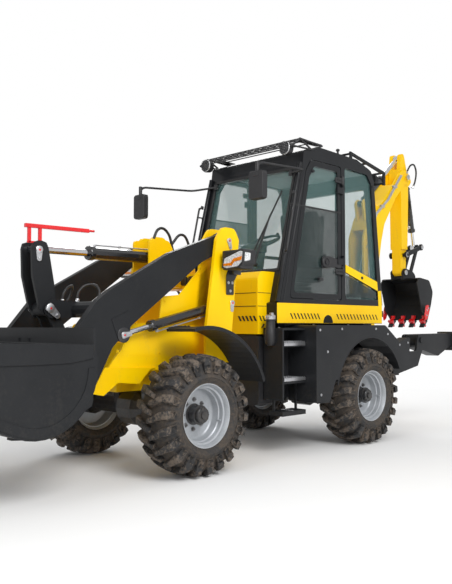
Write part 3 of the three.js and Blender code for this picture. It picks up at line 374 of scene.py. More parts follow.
def lathe(profile, start, end, steps=40, closed=False):  # (along, radius) pairs turned round the line
    bm = bmesh.new()
    verts = [bm.verts.new((radius, 0, way)) for way, radius in profile]
    edges = [bm.edges.new(ends) for ends in zip(verts, verts[1:] + (verts[:1] if closed else []))]
    bmesh.ops.spin(bm, geom=verts + edges, cent=(0, 0, 0), axis=(0, 0, 1), angle=tau, steps=steps,
        use_merge=True)
    bmesh.ops.remove_doubles(bm, verts=bm.verts, dist=0.01)
    move(bm, along(start, end))
    return bm


def extruded(bm, faces, offset):
    grown = bmesh.ops.extrude_face_region(bm, geom=faces)["geom"]
    verts = [v for v in grown if isinstance(v, bmesh.types.BMVert)]
    bmesh.ops.translate(bm, vec=offset, verts=verts)
    bmesh.ops.recalc_face_normals(bm, faces=bm.faces)
    return verts


# outline in 2D, place gives its 3D point
def plateShape(outline, place, offset, bevel=0, round=0, hollow=None):
    bm = bmesh.new()
    face = bm.faces.new([bm.verts.new(place(*point[:2])) for point in outline])
    if round:
        bmesh.ops.bevel(bm, geom=list(bm.verts), offset=round, segments=4, profile=0.5, affect="VERTICES",
            material=-1)
        face = bm.faces[:][0]
    if hollow:
        ring = bmesh.ops.inset_region(bm, faces=[face], thickness=hollow, use_even_offset=True)
        bmesh.ops.delete(bm, geom=[face], context="FACES_ONLY")
        faces = ring["faces"]
    else:
        faces = [face]
    extruded(bm, faces, Vector(offset))
    if bevel:
        bevelEdges(bm, [e for e in bm.edges if e.calc_face_angle(0) > 0.6], bevel, 1)
    return bm


def sideCut(outline, low, high, *cut):  # outline as (y, z); cut holds bevel, round and hollow
    return plateShape(outline, lambda y, z: (low, y, z), (high - low, 0, 0), *cut)


def frontCut(outline, low, high, *cut):  # outline as (x, z)
    return plateShape(outline, lambda x, z: (x, low, z), (0, high - low, 0), *cut)


def planCut(outline, low, high, *cut):  # outline as (x, y)
    return plateShape(outline, lambda x, y: (x, y, low), (0, 0, high - low), *cut)


def bolt(place, radius, height, washer=True, direction=(1, 0, 0)):
    bm = bmesh.new()
    place, direction = Vector(place), Vector(direction).normalized()
    if washer:
        pour(bm, post(place, place + direction * 2.5, radius * 1.45, sides=16))
    pour(bm, post(place, place + direction * (height + 2.5), radius, sides=6, bevel=1.2))
    return bm


def gather(*shapes):
    bm = bmesh.new()
    for shape in shapes:
        pour(bm, shape)
    return bm


mirrorAcross = Matrix.Scale(-1, 4, (1, 0, 0))
bothSides = ((1, "left"), (-1, "right"))


def addPiece(bm, name, finish, body="rear_frame", smooth=32, place=None, stands=()):
    if place is not None:
        move(bm, place)
    bmesh.ops.recalc_face_normals(bm, faces=bm.faces)
    move(bm, drawingToFrame)
    mesh = bpy.data.meshes.new(name)
    bm.to_mesh(mesh)
    bm.free()
    mesh.shade_smooth()
    mesh.set_sharp_from_angle(angle=radians(smooth))
    piece = bpy.data.objects.new(name, mesh)
    scene.collection.objects.link(piece)
    giveFinish(piece, finish)
    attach(piece, body)
    finish.name in finishSlot
    if stands:
        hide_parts(*stands)
    return piece


def pair(name, bm, finish, body="rear_frame"):  # one on the left and its mirror on the right
    for side, flip in (("left", None), ("right", mirrorAcross)):
        addPiece(bm.copy(), f"{side}_{name}", finish, body.format(side), place=flip)
    bm.free()


def hose(name, points, radius, body, ends):  # fixed hose through drawing points, with crimped ferrules
    curve = bpy.data.curves.new(name, "CURVE")
    curve.dimensions = "3D"
    curve.bevel_depth = radius / 1000
    curve.bevel_resolution = 3
    curve.resolution_u = 7
    curve.use_fill_caps = True
    spline = curve.splines.new("BEZIER")
    spline.bezier_points.add(len(points) - 1)
    for knot, point in zip(spline.bezier_points, points):
        knot.co = at(*point)
        knot.handle_left_type = knot.handle_right_type = "AUTO"
    line = bpy.data.objects.new(name, curve)
    scene.collection.objects.link(line)
    giveFinish(line, hoseRubber)
    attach(line, body)
    ferrules = bmesh.new()
    for near, far in ((points[0], points[1]), (points[-1], points[-2])):
        step = (Vector(far) - Vector(near)).normalized()
        pour(ferrules, post(Vector(near), Vector(near) + step * ends, radius * 1.45, bevel=1.5, sides=16))
        pour(ferrules, post(Vector(near) - step * 4, Vector(near) + step * 12, radius * 1.75, sides=6, bevel=1))
    addPiece(ferrules, name + "_ends", zincSteel, body)


print("shape tools ready")

# wheels, drawn round the x axis with the outer face towards +x, then put in place

wheelX, wheelHeight, axleY, lugCount = 700, 460, 1100, 22
# the columns of a lug: x, low, high, radius
lugColumns = [(-6, -64, -28, 459), (64, -46, -4, 457), (116, -26, 28, 451), (170, -18, 38, 428)]


def lugShape():
    bm = bmesh.new()
    bmesh.ops.create_grid(bm, x_segments=3, y_segments=1, size=1)
    for vert in bm.verts:
        x, low, high, radius = lugColumns[round((vert.co.x + 1) * 1.5)]
        vert.co = (x, low if vert.co.y < 0 else high, radius)
    lowered = extruded(bm, bm.faces[:], (0, 0, -48))
    bmesh.ops.scale(bm, vec=(1.0, 1.12, 1.0), verts=lowered)
    bmesh.ops.recalc_face_normals(bm, faces=bm.faces)
    top = [e for e in bm.edges if e.calc_face_angle(0) > 0.5 and not all(v in lowered for v in e.verts)]
    bevelEdges(bm, top, 5)
    return bm


def shoulderShape():  # the block on the side wall, with its square hollow
    bm = bmesh.new()
    bmesh.ops.create_cube(bm, size=1, matrix=Matrix.LocRotScale((154, 8, 364), None, (40, 68, 88)))
    outer = max(bm.faces, key=lambda face: face.normal.x)
    bmesh.ops.scale(bm, vec=(1, 0.8, 1), verts=[v for v in bm.verts if v.co.z < 350], space=shift((0, -8, 0)))
    bmesh.ops.translate(bm, vec=(-3, 0, 2), verts=[v for v in outer.verts if v.co.z > 380])
    bmesh.ops.inset_region(bm, faces=[outer], thickness=15, use_even_offset=True)
    bmesh.ops.translate(bm, vec=(-21, 0, 0), verts=outer.verts)
    bevelEdges(bm, [e for e in bm.edges if e.calc_face_angle(0) > 0.6 and e not in outer.edges[:]], 3, 1)
    return bm


tyre = lathe([(-112, 225), (-140, 236), (-162, 262), (-174, 286), (-168, 306), (-155, 326), (-148, 366),
    (-136, 402), (-110, 417), (0, 419), (110, 417), (136, 402), (148, 366), (155, 326), (168, 306), (174, 288),
    (168, 284), (163, 276), (156, 262), (147, 250), (149, 240), (138, 236), (112, 225)], (0, 0, 0), (1, 0, 0),
    88)

lugs = bmesh.new()
lug, shoulder = lugShape(), shoulderShape()
pitch = tau / lugCount
outward = [spin(pitch * turn, "X") for turn in range(lugCount)]
inward = [spin(pitch * (turn + 0.5), "X") @ mirrorAcross for turn in range(lugCount)]
pour(lugs, lug, *outward, *inward)
pour(lugs, shoulder, *outward, *inward)

dish = lathe([(-119, 222), (-146, 236), (-149, 241), (-143, 243), (-119, 228), (119, 228), (143, 243),
    (150, 241), (149, 235), (128, 222), (112, 219), (106, 207), (70, 205), (64, 196), (16, 193), (4, 186),
    (-2, 172), (-4, 118), (-4, 66), (-14, 66), (-16, 170), (-24, 200), (-119, 214)], (0, 0, 0), (1, 0, 0), 72,
    closed=True)
pour(dish, post((60, 196 * sin(2.2), 196 * cos(2.2)), (104, 190 * sin(2.2), 190 * cos(2.2)), 5))

hub = lathe([(-14, 66), (-4, 80), (2, 82), (6, 68), (58, 66), (60, 74), (76, 74), (78, 62), (104, 60),
    (108, 56), (110, 30), (120, 28), (122, 24), (122, 0)], (0, 0, 0), (1, 0, 0), 48)
for y, z in arcPoints(0, 0, 50, range(90, -270, -36)):
    pour(hub, bolt((104, y, z), 7, 5, False))
pour(hub, post((70, 0, 70), (70, 0, 84), 9, sides=12))

nuts = bmesh.new()
for spot in arcPoints(0, 0, 112, [67.5 - count * 45 for count in range(8)]):
    pour(nuts, bolt((-4, *spot), 13, 12))
    pour(nuts, post((8, *spot), (20, *spot), 6, sides=12))
wheelParts = [("tyre_carcass", tyre, wallRubber, 40, "tyre"), ("tyre_lugs", lugs, treadRubber, 32, None),
    ("rim_dish", dish, rimPaint, 40, "rim"), ("hub", hub, castPaint, 32, None),
    ("wheel_nuts", nuts, wornSteel, 32, None)]
for side, sideName in bothSides:
    for end, axleName in ((-1, "front"), (1, "rear")):
        spot = shift((side * wheelX, end * axleY, wheelHeight))
        if side < 0:
            spot = spot @ spin(pi, "Z")
        spot = spot @ spin(0.35 * side + (0.2 if end > 0 else 0), "X")
        wheelBody = f"{sideName}_{axleName}_wheel"
        for partName, bm, finish, angle, stand in wheelParts:
            addPiece(bm.copy(), f"{wheelBody}_{partName}", finish, wheelBody, angle, spot,
                (f"{wheelBody}_{stand}",) if stand else ())
print("wheels made")

# cab

screenFoot, screenHead = (16, 1345), (350, 2650)  # y, z of the windscreen's lower and upper edge
screenWay = Vector((0, screenHead[0] - screenFoot[0], screenHead[1] - screenFoot[1])).normalized()
screenOut = Vector((0, -screenWay.z, screenWay.y))


def onScreen(x, z, out=0):  # a point on the windscreen's plane
    foot = Vector((x, *screenFoot))
    return foot + screenWay * ((z - foot.z) / screenWay.z) + screenOut * out


def slantedSlots(first, last, count, low, high, x, width=17, lean=34):  # louvre slots as black sheets: painted shade of the slot openings
    slots = bmesh.new()
    for number in range(count):
        y = first + (last - first) * number / (count - 1)
        outline = [(y + lean, low), (y + lean + width, low), (y + width, high), (y, high)]
        pour(slots, sideCut(outline, x, x + 1.2))
    return slots


face, skin = 610, 613.5  # inner and outer x of the sheet below the windows
panel = sideCut([(-24, 1158), (1652, 1158), (1655, 1338), (-24, 1338)], face, skin, 1.2)
pour(panel, sideCut(arcPoints(717, 1158, 84, range(180, -1, -15), 86), skin, skin + 2))
for outline in ([(1012, 1662), (1012, 1737), (1570, 1590), (1580, 1494)], [(1592, 1338), (1655, 1338),
        (1640, 1500), (1582, 1494)]):
    pour(panel, sideCut(outline, face, skin, 1.2))
pair("cab_panel", panel, yellowPaint)
# painted shade: black sheets stand for the dark inside of the louvre slots
slots = slantedSlots(150, 545, 9, 1196, 1248, skin)
pour(slots, slantedSlots(850, 1520, 13, 1196, 1248, skin))
pour(slots, sideCut(arcPoints(717, 1160, 76, range(180, -1, -15), 77), skin + 1.6, skin + 2.6))
pair("cab_slots", slots, deepBlack)

panel = frontCut([(-606, 1158), (606, 1158), (606, 1334), (-606, 1334)], 1652, 1657, 1.5)
addPiece(panel, "cab_back_panel", yellowPaint)
# black sheets for the back louvre slots: painted shade of the openings
slots = bmesh.new()
for count in range(16):
    x = -420 + count * 52
    pour(slots, frontCut([(x + 30, 1200), (x + 48, 1200), (x + 18, 1250), (x, 1250)], 1657, 1658.5))
addPiece(slots, "cab_back_slots", deepBlack)

sealSpan = (606, 612)  # inner and outer face of the window seals
doorRound = [(158, 1384), (948, 1384), (948, 2696), (472, 2696), (398, 2584)]

seal = sideCut(doorRound, 606, 613, 2, 55, 24)
pour(seal, sideCut([(168, 2236), (942, 2236), (942, 2250), (171, 2250)], *sealSpan, 1))
pair("door_seal", seal, blackRubber, "{}_door")

pair("door_lower_glass", sideCut([(190, 1412), (925, 1412), (925, 2238), (205, 2238)], 602.5, 605), darkGlass,
    "{}_door")

iron = bmesh.new()
for height in (1660, 2560):  # hinge straps
    pour(iron, sideCut([(842, height - 26), (966, height - 32), (966, height + 30), (842, height + 26)], 613,
        627, 4, 9))
    pour(iron, post((622, 962, height - 44), (622, 962, height + 44), 13, bevel=2))
    for y in (868, 900, 932):
        pour(iron, bolt((627, y, height), 7, 4, False))
pour(iron, sideCut([(618, 1676), (800, 1700), (938, 1690), (938, 1772), (760, 1800), (630, 1798)], 612, 620, 3,
    25))
pour(iron, lathe([(0, 0), (0, 56), (14, 56), (20, 50), (20, 40), (15, 37), (15, 22), (24, 20), (26, 0)],
    (618, 672, 1738), (660, 672, 1738), 36))
pour(iron, post((606, 500, 2590), (624, 500, 2590), 17, 13, bevel=2))
pour(iron, block((606, 560, 1560), (640, 620, 1588), 6))
pair("door_iron", iron, blackPlastic, "{}_door")


def railTube(points, radius):
    tube = bmesh.new()
    for first, second in zip(points, points[1:]):
        pour(tube, post(first, second, radius, sides=16))
        ball = bmesh.new()
        bmesh.ops.create_uvsphere(ball, u_segments=16, v_segments=8, radius=radius)
        pour(tube, ball, shift(Vector(second)))
    return tube


rails = railTube([(600, 92, 1800), (638, 86, 1812), (640, 84, 1830), (640, 200, 2322), (638, 204, 2340),
    (600, 214, 2352)], 10)
pour(rails, sideCut([(70, 1786), (110, 1780), (118, 1816), (78, 1824)], 608, 614, 2, 6))
pour(rails, sideCut([(196, 2336), (234, 2330), (242, 2366), (204, 2372)], 608, 614, 2, 6))
pair("cab_grab_rail", rails, blackPlastic)

rail = bmesh.new()  # the rounded front pillar and its rain channel
for start, end, radius in (((592, 0, 1345), (592, 334, 2650), 21), ((606, 62, 1350), (606, 384, 2600), 9),
        ((597, 1664, 1345), (597, 1526, 2640), 13)):
    pour(rail, post(start, end, radius, sides=20, bevel=3))
pour(rail, railTube([(600, 384, 2600), (600, 400, 2690), (600, 452, 2746), (600, 560, 2790), (600, 900, 2806),
    (600, 1220, 2790), (600, 1440, 2722), (600, 1526, 2640)], 9))
pair("cab_pillar_trim", rail, cabPaint)

trim = sideCut([(1016, 1404), (1584, 1404), (1572, 1486), (1016, 1654)], *sealSpan, 2, 20, 16)
pour(trim, sideCut([(1016, 1744), (1562, 1600), (1476, 2600), (1398, 2686), (1016, 2696)], *sealSpan, 2, 40,
    20))
pour(trim, lathe([(0, 0), (0, 15), (10, 14), (13, 0)], (612, 1290, 1618), (640, 1290, 1618), 20))
pour(trim, lathe([(0, 0), (0, 12), (6, 11), (8, 0)], (612, 1500, 2580), (640, 1500, 2580), 20))
pair("quarter_window_seal", trim, blackRubber)

pair("quarter_lower_glass", sideCut([(1030, 1418), (1570, 1418), (1560, 1480), (1030, 1638)], 600.5, 602.5),
    darkGlass)

seal = bmesh.new()
for low, high, lowZ, highZ in ((-536, 536, 1628, 1652), (-536, 536, 2596, 2622), (-540, -514, 1628, 2622),
        (514, 540, 1628, 2622)):
    corners = [(low, lowZ), (high, lowZ), (high, highZ), (low, highZ)]
    pour(seal, plateShape(corners, lambda x, z: onScreen(x, z, -2), screenOut * 9, 3))
addPiece(seal, "windscreen_seal", blackRubber)

wiper, foot = bmesh.new(), (247, 1700)  # x, z of its pivot
for start, end, out, radius, top, sides in ((foot, (345, 2190), 26, 8, 5, 12),
        ((225, 1700), (331, 2170), 24, 5, None, 12), ((180, 1790), (425, 2395), 18, 6, None, 8),
        ((180, 1790), (425, 2395), 9, 4, None, 8)):
    pour(wiper, post(onScreen(*start, out), onScreen(*end, out), radius, top, sides))
pour(wiper, post(onScreen(*foot, 4), onScreen(*foot, 34), 20, 14, bevel=2))
pour(wiper, post((-300, 1608, 1500), (-300, 1634, 1500), 16, bevel=2))
addPiece(wiper, "wiper", blackPlastic)
print("cab made")

# hood, tower and front body

housing = gather(block((583, -686, 1590), (800, -528, 1750), 16, 3), frontCut([(780, 1598), (826, 1640),
    (838, 1742), (806, 1753), (780, 1750)], -685, -540, 6))
pair("headlamp_housing", housing, blackPlastic, "front_frame")
outline = [(596, 1612), (642, 1594), (772, 1606), (820, 1642), (832, 1734), (800, 1744), (612, 1690)]
rim = railTube([(x, -688, z) for x, z in outline + outline[:1]], 6)
pair("headlamp_rim", rim, blackPlastic, "front_frame")
outline = [(604, 1616), (644, 1602), (770, 1612), (813, 1645), (824, 1728), (798, 1736), (618, 1684)]
lens = frontCut(outline, -690, -684, 2, 8)
pour(lens, sideCut([(-672, 1648), (-610, 1662), (-604, 1720), (-672, 1726)], 826, 836, 2, 8))
pair("headlamp_lens", lens, clearLens, "front_frame")
outline = [(612, 1622), (704, 1620), (734, 1650), (812, 1660), (818, 1692), (722, 1676), (692, 1644),
    (612, 1640)]
pair("headlamp_amber", frontCut(outline, -694, -689, 1), amberLens, "front_frame")
outline = [(-604, 1392), (-516, 1392), (-516, 1508), (-452, 1588), (-452, 1640), (-566, 1640), (-604, 1548)]
bracket = sideCut(outline, 551, 560, 2, 12)
pour(bracket, block((556, -560, 1560), (600, -470, 1600), 4))
pair("headlamp_bracket", bracket, castPaint, "front_frame")
bolts = bmesh.new()
for y, z in ((-582, 1492), (-538, 1492), (-560, 1424)):
    pour(bolts, bolt((560, y, z), 9, 6))
pair("bracket_bolts", bolts, zincSteel, "front_frame")


def pinPlate(y, z, turn, size=1.0):  # keeper plate with its pin head
    plate = sideCut([(-26, 22), (26, 22), (15, -72), (-15, -72)], 0, 6, 1.5, 12)
    pour(plate, lathe([(0, 0), (0, 25), (8, 24), (10, 20), (10, 0)], (0, 0, 2), (1, 0, 2), 28))
    pour(plate, bolt((6, 0, -52), 8, 5, False))
    move(plate, shift((0, y, z)) @ spin(turn, "X") @ Matrix.Scale(size, 4))
    return plate


def redDot(y, z, x):
    return post((x, y, z), (x + 3, y, z), 9, 7.2, 16)


plates = bmesh.new()
for y, z, turn in ((-566, 1842, 0.3), (-530, 1322, -0.05)):
    pour(plates, pinPlate(y, z, turn), shift((551, 0, 0)))
pair("tower_pin_plates", plates, zincSteel, "front_frame")
dots = gather(redDot(-566, 1844, 561), redDot(-530, 1324, 561))
pair("tower_pin_dots", dots, redPaint, "front_frame")

trim = bmesh.new()
for z in (1306, 1424):
    pour(trim, block((489, -142, z), (491.5, 82, z + 5)))
# black sheets for the hood slots: painted shade of the openings
for number in range(5):
    y = -128 + number * 42
    pour(trim, sideCut([(y + 26, 1176), (y + 43, 1176), (y + 17, 1222), (y, 1222)], 489.5, 491.5))
pour(trim, sideCut([(-100, 1112), (-76, 1118), (-52, 1150), (-70, 1150)], 489.5, 491.5))
pair("hood_trim", trim, deepBlack)
seams = bmesh.new()  # the same seams and slots across the front of the hood; the slots' black is painted shade of the openings
for z in (1306, 1424):
    pour(seams, block((-470, -148, z), (470, -144, z + 5)))
for side in (-1, 1):
    for number in range(5):
        x = side * (462 - number * 46)
        pour(seams, frontCut([(x, 1176), (x + 20, 1176), (x - 8, 1222), (x - 28, 1222)], -148, -144))
addPiece(seams, "hood_front_seams", deepBlack)
bolts = bmesh.new()
for x, y in ((-380, -60), (-380, 40), (380, -60), (380, 40)):
    pour(bolts, bolt((x, y, 1620), 12, 8, direction=(0, 0, 1)))
addPiece(bolts, "hood_bolts", castPaint)

# red level rod over the rocker
level = sideCut([(-2192, 1848), (-1640, 1856), (-1640, 1886), (-2192, 1878)], -14, 14, 3)
pour(level, post((0, -1640, 1872), (0, -1590, 1874), 9, sides=12))
pour(level, sideCut([(-2172, 1738), (-2040, 1738), (-2040, 1752), (-2172, 1752)], -9, 9, 2))
for y in (-2156, -2068):
    pour(level, sideCut([(y - 13, 1742), (y + 13, 1742), (y + 13, 1856), (y - 13, 1856)], -9, 9, 2))
addPiece(level, "level_rod", redPaint, "rocker", place=shift((73, 0, 0)))

caps = lathe([(0, 0), (0, 46), (10, 46), (14, 40), (14, 24), (20, 22), (20, 0)], (534, -1985, 625),
    (560, -1985, 625), 32)
pour(caps, pinPlate(-1985, 625, 2.2), shift((548, 0, 0)))
pair("arm_pin_caps", caps, zincSteel, "loader_bucket")

bucketPlace = shift((0, -2530, 860)) @ spin(-radians(22), "X")

# wear plate along the side's open edge
cheek = sideCut([(-548, -418), (-450, -52), (-300, 62), (306, 286), (330, 200), (180, 112), (-40, 20),
    (-260, -66), (-370, -150), (-440, -418)], 875, 887, 3)

turns = [-90 + step * 11.25 for step in range(11)]
arc, inner = arcPoints(0, 0, 410, turns), arcPoints(0, 0, 350, turns[::-1])
band = sideCut([(-440, -410)] + arc + inner + [(-430, -350)], 875, 880, 1)
for name, bm in (("bucket_cheek", cheek), ("bucket_wear_band", band)):
    move(bm, bucketPlace)
    pair(name, bm, charcoalPaint, "loader_bucket")
blade = sideCut([(-588, -431), (-470, -431), (-470, -409), (-566, -409)], -875, 875, 2)
for count in range(9):
    pour(blade, bolt((-780 + count * 195, -510, -409), 13, 8, direction=(0, 0, 1)))
addPiece(blade, "bucket_blade", wornSteel, "loader_bucket", place=bucketPlace)
ribs = bmesh.new()
outline = arcPoints(0, 0, 442, turns[1:10]) + arcPoints(0, 0, 424, turns[9:0:-1])
for x in (-660, -300, 300, 660):
    pour(ribs, sideCut(outline, x - 30, x + 30, 2))
addPiece(ribs, "bucket_back_ribs", charcoalPaint, "loader_bucket", place=bucketPlace)


def ramTrim(name, base, end, x, radius, head, port=-1):  # gland, ports and hard line of one ram
    way = Vector((0, end[0] - base[0], end[1] - base[1])).normalized()
    side = Vector((0, way.z, -way.y)) * port
    start = Vector((x, *base))
    gland = lathe([(head - 44, radius + 1), (head - 44, radius + 8), (head - 12, radius + 8),
        (head - 8, radius + 5), (head, radius + 4), (head + 1, radius - 12), (head + 4, radius - 14),
        (head + 4, radius - 22)], start, start + way, 36)
    pour(gland, lathe([(84, radius + 0.5), (86, radius + 6), (106, radius + 6), (108, radius + 0.5)], start,
        start + way, 36))
    addPiece(gland, name + "_gland", barrelPaint, name + "_barrel")
    line = bmesh.new()
    for where in (118, head - 66):
        foot = start + way * where
        pour(line, post(foot + side * (radius - 3), foot + side * (radius + 20), 13, sides=6, bevel=1.5))
    low, high = start + way * 118 + side * (radius + 17), start + way * (head - 66) + side * (radius + 17)
    pour(line, railTube([low, high], 5.5))
    for step in (0.3, 0.7):
        middle = low.lerp(high, step)
        pour(line, block(middle - Vector((12, 9, 9)), middle + Vector((12, 9, 9)), 3))
    addPiece(line, name + "_line", zincSteel, name + "_barrel")


for side, sideName in bothSides:
    ramTrim(f"{sideName}_lift", (-537, 1324), (-1620, 1064), side * 470, 38, 840)
ramTrim("tilt", (-600, 1715), (-2060, 1705), 0, 50, 1000, 1)
ramTrim("boom", (2050, 1250), (2310, 2080), 0, 46, 800)
ramTrim("stick", (2200, 2560), (2980, 3220), 0, 42, 545)
ramTrim("hoe", (3185, 2960), (3360, 2130), 0, 38, 650)
print("front made")

# digging arm and stabilisers

teeth = bmesh.new()
for number in (-3, -1, 1, 3):  # red tooth with its shank over each tooth of the bucket
    x = number * 74
    tooth = bmesh.new()
    bmesh.ops.create_cube(tooth, size=1, matrix=Matrix.LocRotScale((0, 0, 0), None, (66, 52, 104)))
    tip = [v for v in tooth.verts if v.co.z < 0]
    bmesh.ops.scale(tooth, vec=(0.72, 0.3, 1), verts=tip)
    bevelEdges(tooth, tooth.edges, 5)
    turned = shift((x, 3186, 1166)) @ spin(0.62, "X")
    pour(teeth, tooth, turned)
    pour(teeth, block((x - 24, 3196, 1196), (x + 24, 3240, 1262), 6))
for side in (-1, 1):  # red side cutters
    outline = [(3132, 1382), (3096, 1258), (3112, 1196), (3162, 1222), (3214, 1316), (3190, 1392)]
    pour(teeth, sideCut(outline, side * 288, side * 300, 3, 14))
addPiece(teeth, "hoe_red_teeth", redPaint, "hoe_bucket")
bolts = bmesh.new()
for side in (-1, 1):
    for y, z in ((3134, 1262), (3146, 1326), (3182, 1350)):
        pour(bolts, bolt((side * 300, y, z), 8, 5, direction=(side, 0, 0)))
addPiece(bolts, "hoe_cutter_bolts", zincSteel, "hoe_bucket")


def capAt(point, x, side, radius, thick=10):  # pin head with its keeper
    return lathe([(0, 0), (0, radius), (thick * 0.7, radius), (thick, radius * 0.8), (thick, radius * 0.45),
        (thick * 0.6, radius * 0.4), (thick * 0.6, 0)], (x, *point), (x + side, *point), 28)


capSets = {"boom": [((3010, 2970), 142, 34), ((2200, 1020), 150, 38)], "stick": [((3005, 1790), 98, 32),
    ((3010, 2010), 116, 30)], "hoe_lever": [((3360, 2130), 122, 27)]}
for capBody, rows in capSets.items():
    caps = bmesh.new()
    for point, x, radius in rows:
        for side in (-1, 1):
            pour(caps, capAt(point, side * x, side, radius))
    addPiece(caps, f"{capBody}_pin_heads", zincSteel, capBody)

pipes = bmesh.new()
for side in (-1, 1):  # hard lines up the boom's flanks
    for offset in (0, 26):
        x = side * 128
        pour(pipes, railTube([(x, 2150 + offset, 1500), (x, 2150 + offset, 2150), (x, 2300 + offset, 2440),
            (x, 2560 + offset, 2640), (x, 2860 + offset, 2975)], 8))
    for y, z in ((2163, 1700), (2163, 2050), (2440, 2545), (2720, 2815)):
        pour(pipes, block((side * 116 - 10, y - 26, z - 14), (side * 116 + 24, y + 44, z + 14), 3))
addPiece(pipes, "boom_pipes", zincSteel, "boom")
for side, sideName in bothSides:
    hose(f"{sideName}_stick_hose", [(side * 30, 3120, 2800), (side * 44, 3210, 2700), (side * 60, 3196, 2500),
        (side * 50, 3176, 2360)], 9, "stick", 26)
hose("stick_loop_hose", [(96, 3040, 3030), (120, 3130, 3150), (110, 3240, 3130), (90, 3262, 2960),
    (64, 3240, 2880)], 11, "stick", 30)
for number, x in enumerate((-60, -20, 20, 60)):  # short loops, both ends on the swing post
    hose(f"swing_hose_{number}", [(x, 1990, 1120), (x * 1.2, 1935, 1128), (x * 1.3, 1908, 1190),
        (x * 1.2, 1932, 1262), (x, 1990, 1275)], 9, "swing_post", 24)

foot = block((486, 3040, 846), (734, 3082, 1064), 5)  # serrated street pad and its hinge ears
for number in range(6):
    z = 866 + number * 34
    pour(foot, sideCut([(3080, z), (3100, z + 15), (3080, z + 30)], 496, 724, 1))
for x in (560, 640):
    pour(foot, sideCut([(2950, 905), (3046, 880), (3046, 1020), (2960, 1000)], x - 8, x + 8, 2, 20))
pour(foot, post((548, 2985, 955), (672, 2985, 955), 20, bevel=2))

trim = bmesh.new()
for z in (985, 925):
    pour(trim, bolt((681, 2330, z), 12, 7))
pour(trim, capAt((2272, 977), 690, 1, 34, 14))
pair("stabiliser_foot", foot, castPaint, "{}_leg")
pair("stabiliser_bolts", trim, zincSteel, "{}_leg")

rearLights, redLights = bmesh.new(), bmesh.new()
for side in (-1, 1):
    pour(rearLights, block((side * 560 - 60, 1653, 1225), (side * 560 + 60, 1668, 1290), 5))
    pour(redLights, block((side * 560 - 52, 1666, 1231), (side * 560 + 10, 1674, 1284), 4))
addPiece(rearLights, "tail_lamp_cases", blackPlastic)
addPiece(redLights, "tail_lamp_lenses", redLens)
print("digging arm made")

# steps, fenders, roof and mirrors


def stud(x, y, z, radius):
    return post((x, y, z), (x, y, z + 5), radius, radius - 2, sides=8)


rungs = bmesh.new()
for z in (675, 995):  # folded serrated tread on each step
    pour(rungs, block((520, -62, z - 3), (716, 236, z + 2), 1))
    pour(rungs, sideCut([(-66, z - 22), (-60, z - 22), (-60, z + 3), (-66, z + 3)], 516, 720))
    for number in range(9):
        x = 536 + number * 21
        pour(rungs, sideCut([(-66, z - 20), (-70, z - 14), (-70, z - 6), (-66, z)], x, x + 10))
    for row in range(5):
        for number in range(7):
            pour(rungs, stud(548 + number * 25, -36 + row * 58, z, 7))
edgeIn, edgeOut = 719, 723
for z in (672, 980):  # bright serrated edge towards the outside
    pour(rungs, block((edgeIn, -58, z - 22), (edgeOut, 232, z + 6), 1))
    for number in range(12):
        y = -56 + number * 24
        pour(rungs, sideCut([(y, z + 5), (y + 16, z + 5), (y + 8, z + 15)], edgeIn, edgeOut))
for number in range(8):
    pour(rungs, stud(582 + number * 18, 70, 390, 6))
pair("step_rungs", rungs, zincSteel)
pair("step_reflector", frontCut([(596, 540), (646, 540), (646, 770), (596, 770)], -71, -64, 1), whiteReflector)
bolts = bmesh.new()
for y, z in ((290, 1096), (620, 1104), (1180, 1104), (1392, 1052), (1612, 940), (1770, 960), (300, 520),
        (400, 900)):
    pour(bolts, bolt((845, y, z), 8, 5))
for y, z in ((60, 1115), (560, 1140), (1120, 1140)):
    pour(bolts, bolt((560, y, z), 8, 5, direction=(0, 0, 1)))
pair("fender_bolts", bolts, zincSteel)
# rolled edge of the arch
lip = railTube([(841, y, z) for y, z in arcPoints(axleY, wheelHeight, 561, range(34, 172, 6))], 7)
pour(lip, block((838, 242, 446), (848, 420, 456), 2))
pair("fender_lip", lip, charcoalPaint)
hubSpot = (-axleY, wheelHeight)
arc = arcPoints(*hubSpot, 668, range(21, 104, 5))
trim = railTube([(866, y, z) for y, z in arc], 6)
pour(trim, railTube([(556, y, z) for y, z in arc], 6))
boltAngles = (34, 62, 90)
for spot, way in zip(arcPoints(*hubSpot, 668, boltAngles), arcPoints(0, 0, 1, boltAngles)):
    for x in (600, 640):
        pour(trim, bolt((x, *spot), 8, 5, direction=(0, *way)))
pair("front_fender_trim", trim, charcoalPaint, "front_frame")

fillerSpot = shift((594, -92, 0))

# filler neck rising from the front of the tank
neck = lathe([(0, 0), (0, 30), (26, 48), (60, 52), (130, 50), (150, 42), (216, 40), (218, 46), (226, 46),
    (228, 38), (228, 0)], (0, 0, 960), (0, 0, 1190), 36)
pour(neck, block((-44, 0, 990), (44, 30, 1100), 8))

cap = lathe([(0, 0), (0, 36), (4, 40), (38, 40), (44, 34), (46, 0)], (0, 0, 1186), (0, 0, 1236), 28)
for count in range(14):
    turn = count * tau / 14
    pour(cap, block((-3, 38, 1192), (3, 43, 1222), 1), spin(turn, "Z"))
pour(cap, block((20, -40, 1222), (46, -8, 1248), 4))
addPiece(neck, "filler_neck", blackPlastic, place=fillerSpot)
addPiece(cap, "filler_cap", zincSteel, place=fillerSpot)

